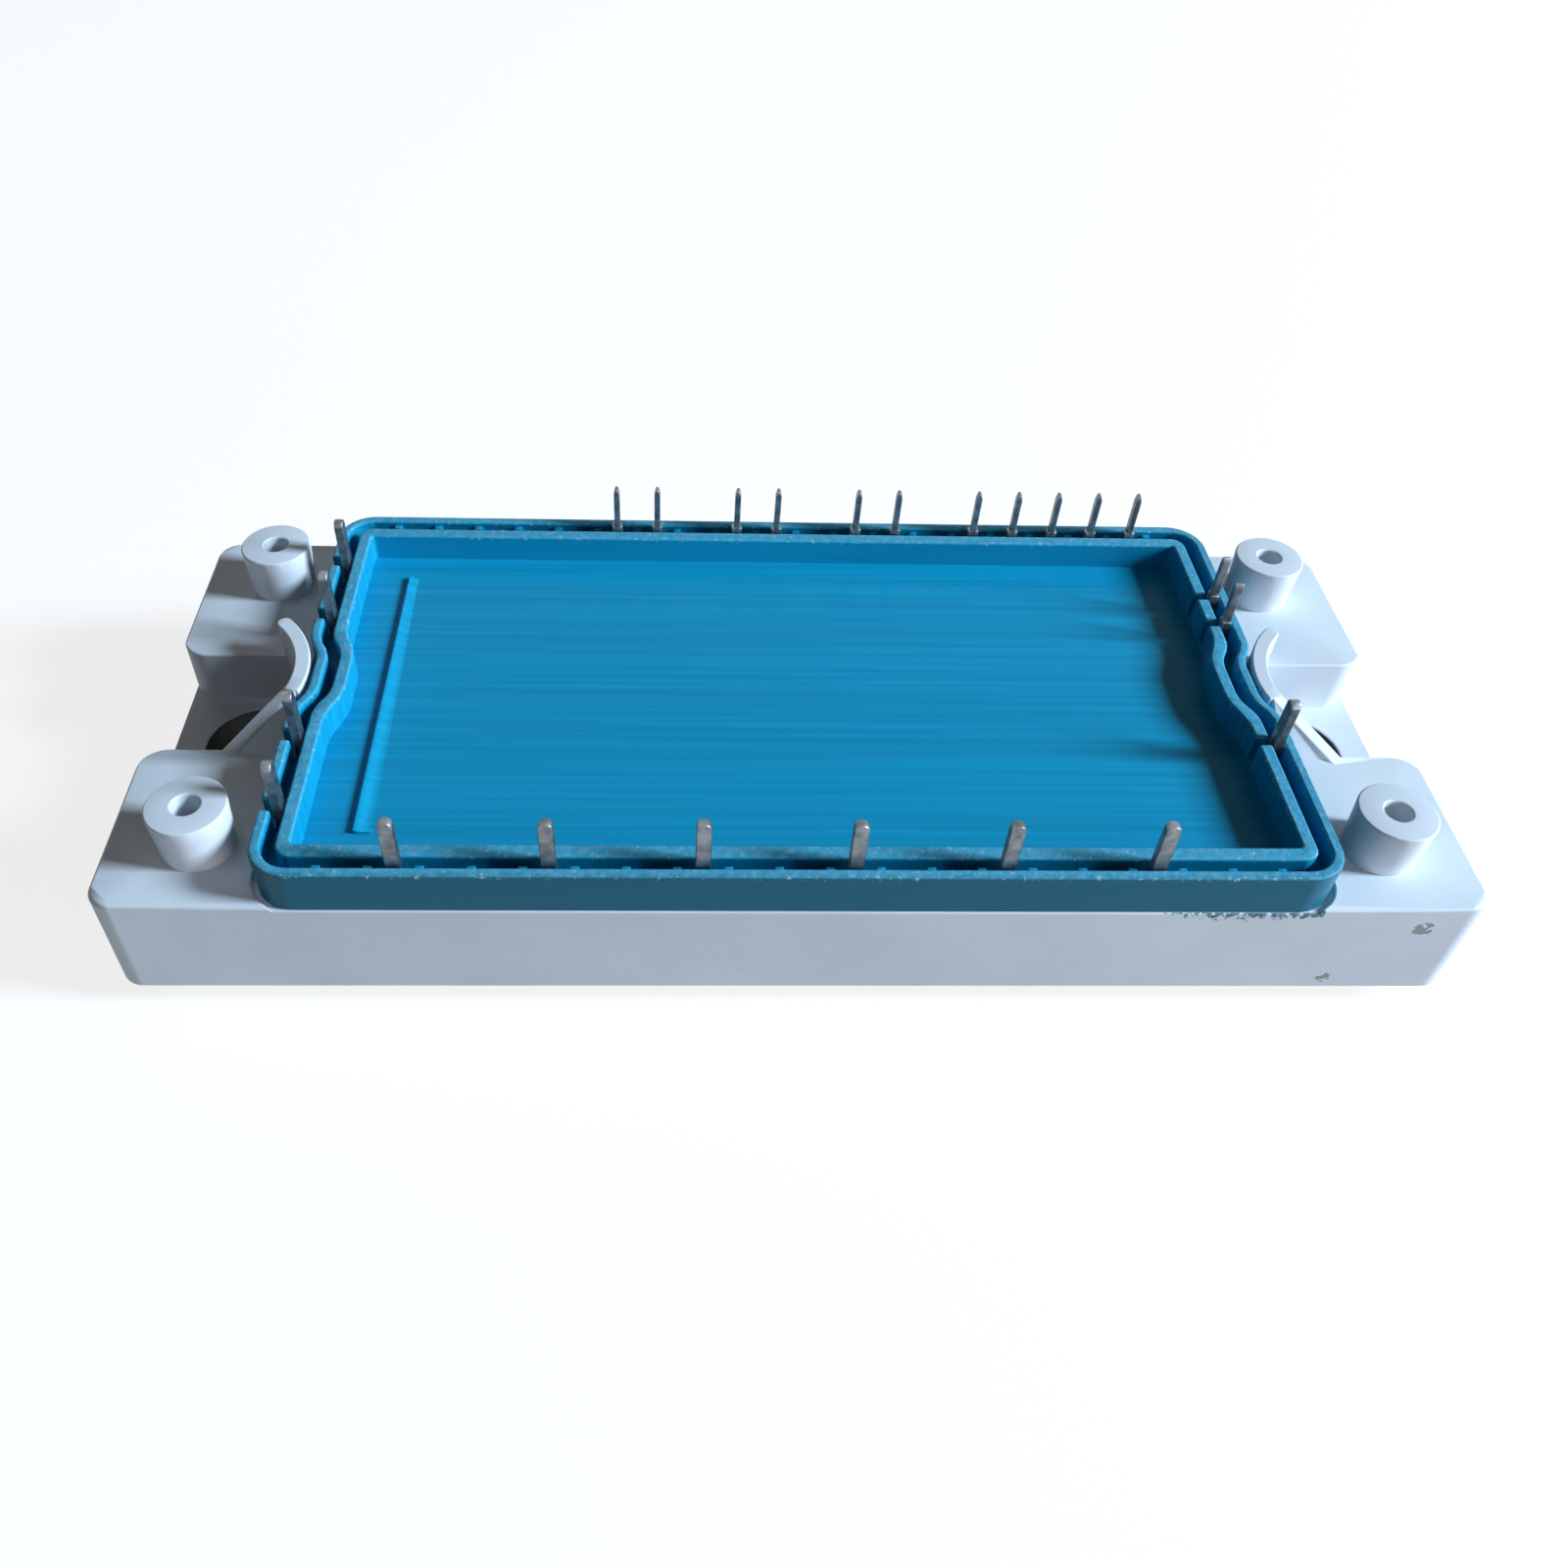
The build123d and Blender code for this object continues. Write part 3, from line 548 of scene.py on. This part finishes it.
        shavings = add_node(
            tree,
            "ShaderNodeMix",
            {MIX_SHARE: tone, MIX_FIRST: srgb(self.residue_light), MIX_SECOND: srgb(self.residue_dark)},
            data_type="RGBA",
        ).outputs[MIX_RESULT]
        return add_node(
            tree,
            "ShaderNodeMix",
            {MIX_SHARE: share, MIX_FIRST: under, MIX_SECOND: shavings},
            data_type="RGBA",
        ).outputs[MIX_RESULT]


@dataclass(frozen=True)
class LidPlastic:
    """Teal ABS blend, injection moulded in a polished tool: satin gloss, fine flow lines, whitened rims."""

    base: str = "#129CC4"
    shade: str = "#0E8FB6"
    roughness: float = 0.36
    ior: float = 1.52
    specular: float = 0.1
    flow_pitch: float = 0.55
    flow_length: float = 45.0
    flow_height: float = 4.0
    flow_strength: float = 0.12
    flow_depth: float = 0.04
    wall: str = "#246C84"
    wall_depth: float = 0.3
    corner_radius: float = 3.2
    rim: str = "#5FA9C2"
    rim_heights: Limits = (15.82, 15.98)
    rim_cover: Limits = (0.35, 0.9)
    rim_roughness: float = 0.62
    nick_size: float = 0.7
    nick_depth: float = 0.12
    fleck: str = "#94BFCE"
    fleck_size: float = 0.4
    fleck_limits: Limits = (0.6, 0.68)
    fleck_raggedness: float = 0.6
    fleck_bottom_z: float = 15.45

    def material(self, half_x: float, half_y: float) -> bpy.types.Material:
        """Builds the node tree of the teal plastic.

        Args:
            half_x: Half the lid's length in metres.
            half_y: Half the lid's width in metres.

        Returns:
            The material.
        """
        made, tree, place = blank_material("teal_abs_moulded")
        z = add_node(tree, "ShaderNodeSeparateXYZ", {0: place}).outputs[2]
        along = (per(self.flow_length), per(self.flow_pitch), per(self.flow_height))
        stretched = add_node(
            tree, "ShaderNodeVectorMath", {0: place, 1: along}, operation="MULTIPLY"
        ).outputs[0]
        flow = add_node(
            tree, "ShaderNodeTexNoise", {"Vector": stretched, "Scale": 1.0, "Detail": ROUGH}
        ).outputs[0]
        flow_share = add_node(tree, "ShaderNodeMapRange", {"Value": flow, **between(EVEN_SPLIT)}).outputs[0]
        floor_tone = add_node(
            tree,
            "ShaderNodeMix",
            {MIX_SHARE: flow_share, MIX_FIRST: srgb(self.base), MIX_SECOND: srgb(self.shade)},
            data_type="RGBA",
        ).outputs[MIX_RESULT]
        outside = self.outer_wall(tree, place, half_x, half_y)
        walled = add_node(
            tree,
            "ShaderNodeMix",
            {MIX_SHARE: outside, MIX_FIRST: floor_tone, MIX_SECOND: srgb(self.wall)},
            data_type="RGBA",
        ).outputs[MIX_RESULT]
        nicks = add_node(
            tree, "ShaderNodeTexNoise", {"Vector": place, "Scale": per(self.nick_size), "Detail": ROUGH}
        ).outputs[0]
        rim_bottom, rim_top = (height * MM for height in self.rim_heights)
        at_rim = add_node(
            tree, "ShaderNodeMapRange", {"Value": z, **between((rim_bottom, rim_top))}
        ).outputs[0]
        least, most = self.rim_cover
        whitened = add_node(
            tree,
            "ShaderNodeMapRange",
            {"Value": nicks, **between(EVEN_SPLIT), "To Min": least, "To Max": most},
        ).outputs[0]
        rim_share = add_node(
            tree, "ShaderNodeMath", {0: at_rim, 1: whitened}, operation="MULTIPLY"
        ).outputs[0]
        colour = add_node(
            tree,
            "ShaderNodeMix",
            {MIX_SHARE: rim_share, MIX_FIRST: walled, MIX_SECOND: srgb(self.rim)},
            data_type="RGBA",
        ).outputs[MIX_RESULT]
        fleck_noise = add_node(
            tree,
            "ShaderNodeTexNoise",
            {
                "Vector": place,
                "Scale": per(self.fleck_size),
                "Detail": MIXED,
                "Roughness": self.fleck_raggedness,
            },
        ).outputs[0]
        chipped = add_node(
            tree, "ShaderNodeMapRange", {"Value": fleck_noise, **between(self.fleck_limits)}
        ).outputs[0]
        near_top = add_node(
            tree, "ShaderNodeMapRange", {"Value": z, **between((self.fleck_bottom_z * MM, rim_bottom))}
        ).outputs[0]
        fleck_share = add_node(
            tree, "ShaderNodeMath", {0: chipped, 1: near_top}, operation="MULTIPLY"
        ).outputs[0]
        colour = add_node(
            tree,
            "ShaderNodeMix",
            {MIX_SHARE: fleck_share, MIX_FIRST: colour, MIX_SECOND: srgb(self.fleck)},
            data_type="RGBA",
        ).outputs[MIX_RESULT]
        roughness = add_node(
            tree,
            "ShaderNodeMapRange",
            {"Value": rim_share, "To Min": self.roughness, "To Max": self.rim_roughness},
        ).outputs[0]
        lines = add_node(
            tree,
            "ShaderNodeBump",
            {"Height": flow, "Strength": self.flow_strength, "Distance": self.flow_depth * MM},
        ).outputs[0]
        pitted = add_node(
            tree,
            "ShaderNodeBump",
            {"Height": nicks, "Strength": rim_share, "Distance": self.nick_depth * MM, "Normal": lines},
        ).outputs[0]
        fill_inputs(
            tree,
            tree.nodes["Principled BSDF"],
            {
                "Base Color": colour,
                "Roughness": roughness,
                "Normal": pitted,
                "IOR": self.ior,
                "Specular IOR Level": self.specular,
            },
        )
        return made

    def outer_wall(
        self, tree: bpy.types.NodeTree, place: bpy.types.NodeSocket, half_x: float, half_y: float
    ) -> bpy.types.NodeSocket:
        """One on the lid's outer wall, which is duller than the tray, and nought inside it.

        Args:
            tree: The material's node tree.
            place: Object coordinates.
            half_x: Half the lid's length in metres.
            half_y: Half the lid's width in metres.

        Returns:
            The share.
        """
        radius = self.corner_radius * MM
        centre = (half_x - radius, half_y - radius, 0.0)
        flat = add_node(tree, "ShaderNodeVectorMath", {0: place, 1: PLAN}, operation="MULTIPLY").outputs[0]
        folded = add_node(tree, "ShaderNodeVectorMath", {0: flat}, operation="ABSOLUTE").outputs[0]
        inset = add_node(
            tree, "ShaderNodeVectorMath", {0: folded, 1: centre}, operation="SUBTRACT"
        ).outputs[0]
        past = add_node(tree, "ShaderNodeVectorMath", {0: inset, 1: ORIGIN}, operation="MAXIMUM").outputs[0]
        reach = add_node(tree, "ShaderNodeVectorMath", {0: past}, operation="LENGTH").outputs["Value"]
        limit = radius - self.wall_depth * MM
        return add_node(tree, "ShaderNodeMath", {0: reach, 1: limit}, operation="GREATER_THAN").outputs[0]


@dataclass(frozen=True)
class TinPlate:
    """Copper strip with a dull electroplated tin: soft grey, drawn along its length, blotched darker.

    The drawing lines are a few times as coarse as the real ones, so that they show.
    """

    bright: str = "#8C9297"
    dull: str = "#63696D"
    blotch_size: float = 0.9
    roughness: Limits = (0.34, 0.54)
    draw_pitch: float = 0.12
    draw_length: float = 4.0
    draw_strength: float = 0.25
    draw_depth: float = 0.02

    def material(self) -> bpy.types.Material:
        """Builds the node tree of the tin plate.

        Returns:
            The material.
        """
        made, tree, place = blank_material("dull_tin_plate")
        along = (per(self.draw_pitch), per(self.draw_pitch), per(self.draw_length))
        stretched = add_node(
            tree, "ShaderNodeVectorMath", {0: place, 1: along}, operation="MULTIPLY"
        ).outputs[0]
        drawn = add_node(
            tree, "ShaderNodeTexNoise", {"Vector": stretched, "Scale": 1.0, "Detail": MIXED}
        ).outputs[0]
        blotch = add_node(
            tree, "ShaderNodeTexNoise", {"Vector": place, "Scale": per(self.blotch_size), "Detail": MIXED}
        ).outputs[0]
        share = add_node(tree, "ShaderNodeMapRange", {"Value": blotch, **between(EVEN_SPLIT)}).outputs[0]
        colour = add_node(
            tree,
            "ShaderNodeMix",
            {MIX_SHARE: share, MIX_FIRST: srgb(self.bright), MIX_SECOND: srgb(self.dull)},
            data_type="RGBA",
        ).outputs[MIX_RESULT]
        smooth, rough = self.roughness
        roughness = add_node(
            tree, "ShaderNodeMapRange", {"Value": drawn, "To Min": smooth, "To Max": rough}
        ).outputs[0]
        bump = add_node(
            tree,
            "ShaderNodeBump",
            {"Height": drawn, "Strength": self.draw_strength, "Distance": self.draw_depth * MM},
        ).outputs[0]
        fill_inputs(
            tree,
            tree.nodes["Principled BSDF"],
            {"Base Color": colour, "Roughness": roughness, "Normal": bump, "Metallic": 1.0},
        )
        return made


@dataclass(frozen=True)
class NickelPlate:
    """Copper plate with satin electroplated nickel: warm grey, brushed along its length, faint stains.

    The brush lines are a few times as coarse as the real ones, so that they show.
    """

    bright: str = "#C3C0B8"
    stain: str = "#B5AFA3"
    stain_size: float = 14.0
    stain_limits: Limits = (0.48, 0.72)
    # Painted shade on the plate at the foot of the screw wells: its colour, and the heights it spans
    well_shade: str = "#2E3332"
    well_shade_heights: Limits = (2.5, 3.5)
    roughness: Limits = (0.24, 0.46)
    brush_pitch: float = 0.18
    brush_length: float = 22.0
    brush_strength: float = 0.2
    brush_depth: float = 0.02

    def material(self) -> bpy.types.Material:
        """Builds the node tree of the nickel plate.

        Returns:
            The material.
        """
        made, tree, place = blank_material("satin_nickel_plate")
        along = (per(self.brush_length), per(self.brush_pitch), per(self.brush_pitch))
        stretched = add_node(
            tree, "ShaderNodeVectorMath", {0: place, 1: along}, operation="MULTIPLY"
        ).outputs[0]
        brushed = add_node(
            tree, "ShaderNodeTexNoise", {"Vector": stretched, "Scale": 1.0, "Detail": MIXED}
        ).outputs[0]
        cloud = add_node(
            tree, "ShaderNodeTexNoise", {"Vector": place, "Scale": per(self.stain_size), "Detail": ROUGH}
        ).outputs[0]
        stained = add_node(
            tree, "ShaderNodeMapRange", {"Value": cloud, **between(self.stain_limits)}
        ).outputs[0]
        colour = add_node(
            tree,
            "ShaderNodeMix",
            {MIX_SHARE: stained, MIX_FIRST: srgb(self.bright), MIX_SECOND: srgb(self.stain)},
            data_type="RGBA",
        ).outputs[MIX_RESULT]
        # Darkens the plate inside the screw wells with painted shade
        well_shade = well_shade_share(tree, place, self.well_shade_heights)
        colour = add_node(
            tree,
            "ShaderNodeMix",
            {MIX_SHARE: well_shade, MIX_FIRST: colour, MIX_SECOND: srgb(self.well_shade)},
            data_type="RGBA",
        ).outputs[MIX_RESULT]
        smooth, rough = self.roughness
        roughness = add_node(
            tree, "ShaderNodeMapRange", {"Value": brushed, "To Min": smooth, "To Max": rough}
        ).outputs[0]
        bump = add_node(
            tree,
            "ShaderNodeBump",
            {"Height": brushed, "Strength": self.brush_strength, "Distance": self.brush_depth * MM},
        ).outputs[0]
        fill_inputs(
            tree,
            tree.nodes["Principled BSDF"],
            {"Base Color": colour, "Roughness": roughness, "Normal": bump, "Metallic": 1.0},
        )
        return made


@dataclass(frozen=True)
class InnerFinish:
    """A hidden piece's surface: two near colours, in a fine pattern of its own kind."""

    name: str
    slot: Slot
    light: str
    dark: str
    grain: Grain
    grain_size: float
    roughness: float
    metallic: float = 0.0
    alpha: float = 1.0
    tooth_strength: float = 0.15
    tooth_depth: float = 0.02

    def material(self) -> bpy.types.Material:
        """Builds the node tree of the hidden piece's surface.

        Returns:
            The material.
        """
        made, tree, place = blank_material(self.name)
        stretch = ROLLED_STRETCH if self.grain is Grain.ROLLED else 1.0
        pitch = per(self.grain_size)
        along = (pitch / stretch, pitch, pitch)
        scaled = add_node(tree, "ShaderNodeVectorMath", {0: place, 1: along}, operation="MULTIPLY").outputs[0]
        detail = SOFT if self.grain is Grain.CLOUDY else ROUGH
        noise = add_node(
            tree, "ShaderNodeTexNoise", {"Vector": scaled, "Scale": 1.0, "Detail": detail}
        ).outputs[0]
        share = add_node(tree, "ShaderNodeMapRange", {"Value": noise, **between(EVEN_SPLIT)}).outputs[0]
        colour = add_node(
            tree,
            "ShaderNodeMix",
            {MIX_SHARE: share, MIX_FIRST: srgb(self.light), MIX_SECOND: srgb(self.dark)},
            data_type="RGBA",
        ).outputs[MIX_RESULT]
        bump = add_node(
            tree,
            "ShaderNodeBump",
            {"Height": noise, "Strength": self.tooth_strength, "Distance": self.tooth_depth * MM},
        ).outputs[0]
        fill_inputs(
            tree,
            tree.nodes["Principled BSDF"],
            {
                "Base Color": colour,
                "Normal": bump,
                "Roughness": self.roughness,
                "Metallic": self.metallic,
                "Alpha": self.alpha,
            },
        )
        return made


# Epoxy-silicone bead, cured grey: soft and slightly cloudy
CURED_ADHESIVE = InnerFinish(
    "cured_adhesive", Slot.GLUE, "#3A3B3E", "#2C2D30", Grain.CLOUDY, grain_size=1.5, roughness=0.6
)
# Tin-silver solder, reflowed: bright grey with small frosted crystals
REFLOWED_SOLDER = InnerFinish(
    "reflowed_solder",
    Slot.SOLDER,
    "#B9BBBE",
    "#9C9FA3",
    Grain.SPECKLE,
    grain_size=0.3,
    roughness=0.35,
    metallic=1.0,
)
# Bonded copper foil, etched: pink metal with the rolling lines of the sheet
BONDED_COPPER = InnerFinish(
    "bonded_copper",
    Slot.FOIL,
    "#D08A68",
    "#B87455",
    Grain.ROLLED,
    grain_size=0.25,
    roughness=0.38,
    metallic=1.0,
)
# Fired alumina: dense off-white ceramic
FIRED_ALUMINA = InnerFinish(
    "fired_alumina", Slot.CERAMIC, "#F1F1ED", "#E3E2DC", Grain.SPECKLE, grain_size=0.2, roughness=0.5
)
# Metallised silicon chip: smooth violet grey
METALLISED_SILICON = InnerFinish(
    "metallised_silicon",
    Slot.CHIP,
    "#8C8E99",
    "#6D6F7C",
    Grain.CLOUDY,
    grain_size=0.8,
    roughness=0.22,
    metallic=0.6,
)
# Sintered thermistor body: dark brown ceramic
SINTERED_SENSOR = InnerFinish(
    "sintered_sensor", Slot.SENSOR, "#5B4A40", "#47392F", Grain.SPECKLE, grain_size=0.2, roughness=0.55
)
# Drawn aluminium wire: pale, with lines along it
DRAWN_ALUMINIUM = InnerFinish(
    "drawn_aluminium",
    Slot.WIRE,
    "#DADCDE",
    "#C2C5C8",
    Grain.ROLLED,
    grain_size=0.1,
    roughness=0.3,
    metallic=1.0,
)
# Silicone gel: clear and soft, with a faint haze
CLEAR_GEL = InnerFinish(
    "clear_silicone_gel",
    Slot.GEL,
    "#E4ECF0",
    "#DCE6EB",
    Grain.CLOUDY,
    grain_size=6.0,
    roughness=0.12,
    alpha=0.35,
)


@dataclass
class Housing:
    """White frame with its ears, pockets and bosses."""

    edge_radius: float = 0.16
    edge_segments: int = 3
    edge_degrees: float = 50.0
    finish: FramePlastic = FramePlastic()

    def build(self, nodes: dict[str, bpy.types.Object]) -> None:
        """Models the frame with rounded edges over its CAD node.

        Args:
            nodes: The CAD nodes by name.
        """
        shell = merged_copy(nodes["housing_frame"], "frame_moulding")
        soften(shell, self.edge_radius, self.edge_segments, self.edge_degrees)
        dress(shell, self.finish.material())
        settle(shell, "housing_frame")


@dataclass
class Lid:
    """Teal lid with its double rim, tray and groove."""

    edge_radius: float = 0.07
    edge_segments: int = 2
    finish: LidPlastic = LidPlastic()

    def build(self, nodes: dict[str, bpy.types.Object]) -> None:
        """Models the lid with softened edges over its CAD node.

        Args:
            nodes: The CAD nodes by name.
        """
        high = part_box("lid")[1]
        cover = merged_copy(nodes["lid"], "lid_moulding")
        soften(cover, self.edge_radius, self.edge_segments)
        dress(cover, self.finish.material(high.x, high.y))
        settle(cover, "lid")


@dataclass
class PinRows:
    """The four rows of solder pins."""

    name_mark: str = "_pin_"
    edge_radius: float = 0.13
    edge_segments: int = 3
    finish: TinPlate = TinPlate()

    def build(self, nodes: dict[str, bpy.types.Object]) -> None:
        """Models each pin with the rolled edges of stamped strip.

        Args:
            nodes: The CAD nodes by name.
        """
        plated = self.finish.material()
        for name in sorted(nodes):
            if self.name_mark not in name:
                continue
            pin = merged_copy(nodes[name], f"{name}_strip")
            soften(pin, self.edge_radius, self.edge_segments)
            dress(pin, plated)
            settle(pin, name)


@dataclass
class Base:
    """Plated baseplate under the frame."""

    edge_radius: float = 0.12
    edge_segments: int = 3
    finish: NickelPlate = NickelPlate()

    def build(self, nodes: dict[str, bpy.types.Object]) -> None:
        """Models the baseplate with eased edges over its CAD node.

        Args:
            nodes: The CAD nodes by name.
        """
        plate = merged_copy(nodes["baseplate"], "base_plate")
        soften(plate, self.edge_radius, self.edge_segments)
        dress(plate, self.finish.material())
        settle(plate, "baseplate")


@dataclass
class Circuit:
    """Everything sealed inside: these CAD nodes stay, and get their materials."""

    chip_names: tuple[str, ...] = ("rectifier_diode", "igbt", "freewheel_diode", "brake")

    def build(self, nodes: dict[str, bpy.types.Object]) -> None:
        """Dresses the hidden nodes.

        Args:
            nodes: The CAD nodes by name.
        """
        finishes = {
            "adhesive_bead": CURED_ADHESIVE,
            "substrate_solder": REFLOWED_SOLDER,
            "substrate_lower_copper": BONDED_COPPER,
            "substrate_ceramic": FIRED_ALUMINA,
            "substrate_copper_islands": BONDED_COPPER,
            "chip_solder": REFLOWED_SOLDER,
            "temperature_sensor": SINTERED_SENSOR,
            "bond_wires": DRAWN_ALUMINIUM,
            "silicone_gel": CLEAR_GEL,
        }
        finishes.update({name: METALLISED_SILICON for name in nodes if name.startswith(self.chip_names)})
        made: dict[str, bpy.types.Material] = {}
        for name, finish in finishes.items():
            if finish.name not in made:
                made[finish.name] = finish.material()
            dress(nodes[name], made[finish.name])
        LOG.info("circuit: %d hidden nodes dressed", len(finishes))


@dataclass(frozen=True)
class Softbox:
    """One rectangular lamp, aimed at the module. Its angles are degrees and its sizes metres."""

    name: str
    azimuth: float
    elevation: float
    distance: float
    width: float
    height: float
    strength: float
    colour: str

    def place(self) -> None:
        """Hangs the lamp. A strength of 1 lights a white surface that faces it to white."""
        data = bpy.data.lights.new(self.name, "AREA")
        data.shape = "RECTANGLE"
        data.size = self.width
        data.size_y = self.height
        data.energy = self.strength * math.pi**2 * self.distance**2
        data.color = srgb(self.colour)[:3]
        lamp = bpy.data.objects.new(self.name, data)
        turn = math.radians(self.azimuth)
        rise = math.radians(self.elevation)
        way = Vector((math.cos(turn) * math.cos(rise), math.sin(turn) * math.cos(rise), math.sin(rise)))
        lamp.location = way * self.distance
        lamp.rotation_euler = way.to_track_quat("Z", "Y").to_euler()
        bpy.context.scene.collection.objects.link(lamp)


@dataclass
class Studio:
    """Pale floor, plain lamps and the camera at the photograph's angle. Its places are metres."""

    floor_size: float = 6.0
    floor_tone: str = "#A0A2A4"
    floor_glow: float = 0.82
    floor_seen_tone: Colour = (0.25, 0.25, 0.25, 1.0)
    sky_strength: float = 0.05
    sky_tone: str = "#F2F5F8"
    camera_place: tuple[float, float, float] = (-0.0103, -0.0855, 0.0923)
    camera_turn: tuple[float, float, float] = (44.45, -1.79, -1.23)
    camera_near: float = 0.005
    focal_pixels: float = 1370.0
    centre_pixels: tuple[float, float] = (732.4, 779.5)
    frame_pixels: float = 1600.0
    sensor: float = 36.0
    lamps: tuple[Softbox, ...] = (
        Softbox(
            "window_right",
            azimuth=-8.0,
            elevation=28.0,
            distance=1.50,
            width=0.30,
            height=0.42,
            strength=1.85,
            colour="#D2EAFF",
        ),
        Softbox(
            "room_front",
            azimuth=-50.0,
            elevation=9.0,
            distance=0.42,
            width=0.22,
            height=0.09,
            strength=0.29,
            colour="#F6EEF2",
        ),
    )

    def build(self) -> None:
        """Makes the floor, the world, the lamps and the camera."""
        self.floor()
        self.sky()
        for lamp in self.lamps:
            lamp.place()
        self.camera()

    def floor(self) -> None:
        """Lays a white floor that keeps the module's shadow and stays white to the eye."""
        deselect_all()
        bpy.ops.mesh.primitive_plane_add(size=self.floor_size, location=ORIGIN)
        sheet = bpy.context.active_object
        sheet.name = "studio_floor"
        made = bpy.data.materials.new("white_sweep")
        made.use_nodes = True
        tree = made.node_tree
        tree.nodes.clear()
        paper = add_node(tree, "ShaderNodeBsdfDiffuse", {"Color": srgb(self.floor_tone)}).outputs[0]
        seen_paper = add_node(tree, "ShaderNodeBsdfDiffuse", {"Color": self.floor_seen_tone}).outputs[0]
        glow = add_node(
            tree, "ShaderNodeEmission", {"Color": WHITE, "Strength": self.floor_glow}
        ).outputs[0]
        seen = add_node(tree, "ShaderNodeAddShader", {0: seen_paper, 1: glow}).outputs[0]
        mix = add_node(tree, "ShaderNodeMixShader", {0: self.seen_rays(tree), 1: paper, 2: seen}).outputs[0]
        add_node(tree, "ShaderNodeOutputMaterial", {0: mix})
        sheet.data.materials.append(made)

    def seen_rays(self, tree: bpy.types.NodeTree) -> bpy.types.NodeSocket:
        """One for the rays that show the background: straight, mirrored or through glass.

        Args:
            tree: Node tree of the floor or the world.

        Returns:
            The share.
        """
        path = add_node(tree, "ShaderNodeLightPath").outputs
        seen = path["Is Camera Ray"]
        for other in ("Is Glossy Ray", "Is Transmission Ray"):
            seen = add_node(tree, "ShaderNodeMath", {0: seen, 1: path[other]}, operation="MAXIMUM").outputs[0]
        return seen

    def sky(self) -> None:
        """Sets a weak even sky that looks white behind the module."""
        world = bpy.data.worlds.new("studio_sky")
        bpy.context.scene.world = world
        world.use_nodes = True
        tree = world.node_tree
        tree.nodes.clear()
        ambient = add_node(
            tree, "ShaderNodeBackground", {"Color": srgb(self.sky_tone), "Strength": self.sky_strength}
        ).outputs[0]
        white = add_node(tree, "ShaderNodeBackground", {"Color": WHITE, "Strength": 1.0}).outputs[0]
        seen = self.seen_rays(tree)
        mix = add_node(tree, "ShaderNodeMixShader", {0: seen, 1: ambient, 2: white}).outputs[0]
        add_node(tree, "ShaderNodeOutputWorld", {0: mix})

    def camera(self) -> None:
        """Sets the camera where the photograph was taken from."""
        data = bpy.data.cameras.new("photo_camera")
        data.sensor_width = self.sensor
        data.lens = self.focal_pixels * self.sensor / self.frame_pixels
        data.shift_x = 0.5 - self.centre_pixels[0] / self.frame_pixels
        data.shift_y = self.centre_pixels[1] / self.frame_pixels - 0.5
        data.clip_start = self.camera_near
        holder = bpy.data.objects.new("photo_camera", data)
        holder.location = self.camera_place
        holder.rotation_euler = [math.radians(angle) for angle in self.camera_turn]
        bpy.context.scene.collection.objects.link(holder)
        bpy.context.scene.camera = holder
        bpy.context.scene.view_settings.view_transform = "Standard"


def main() -> None:
    """Dresses the module and lights it."""
    logging.basicConfig(level=logging.INFO, format="%(message)s")
    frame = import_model()
    nodes = frame["nodes"]
    Studio().build()
    for assembly in (Housing(), Lid(), PinRows(), Base(), Circuit()):
        assembly.build(nodes)


if __name__ == "__main__":
    main()
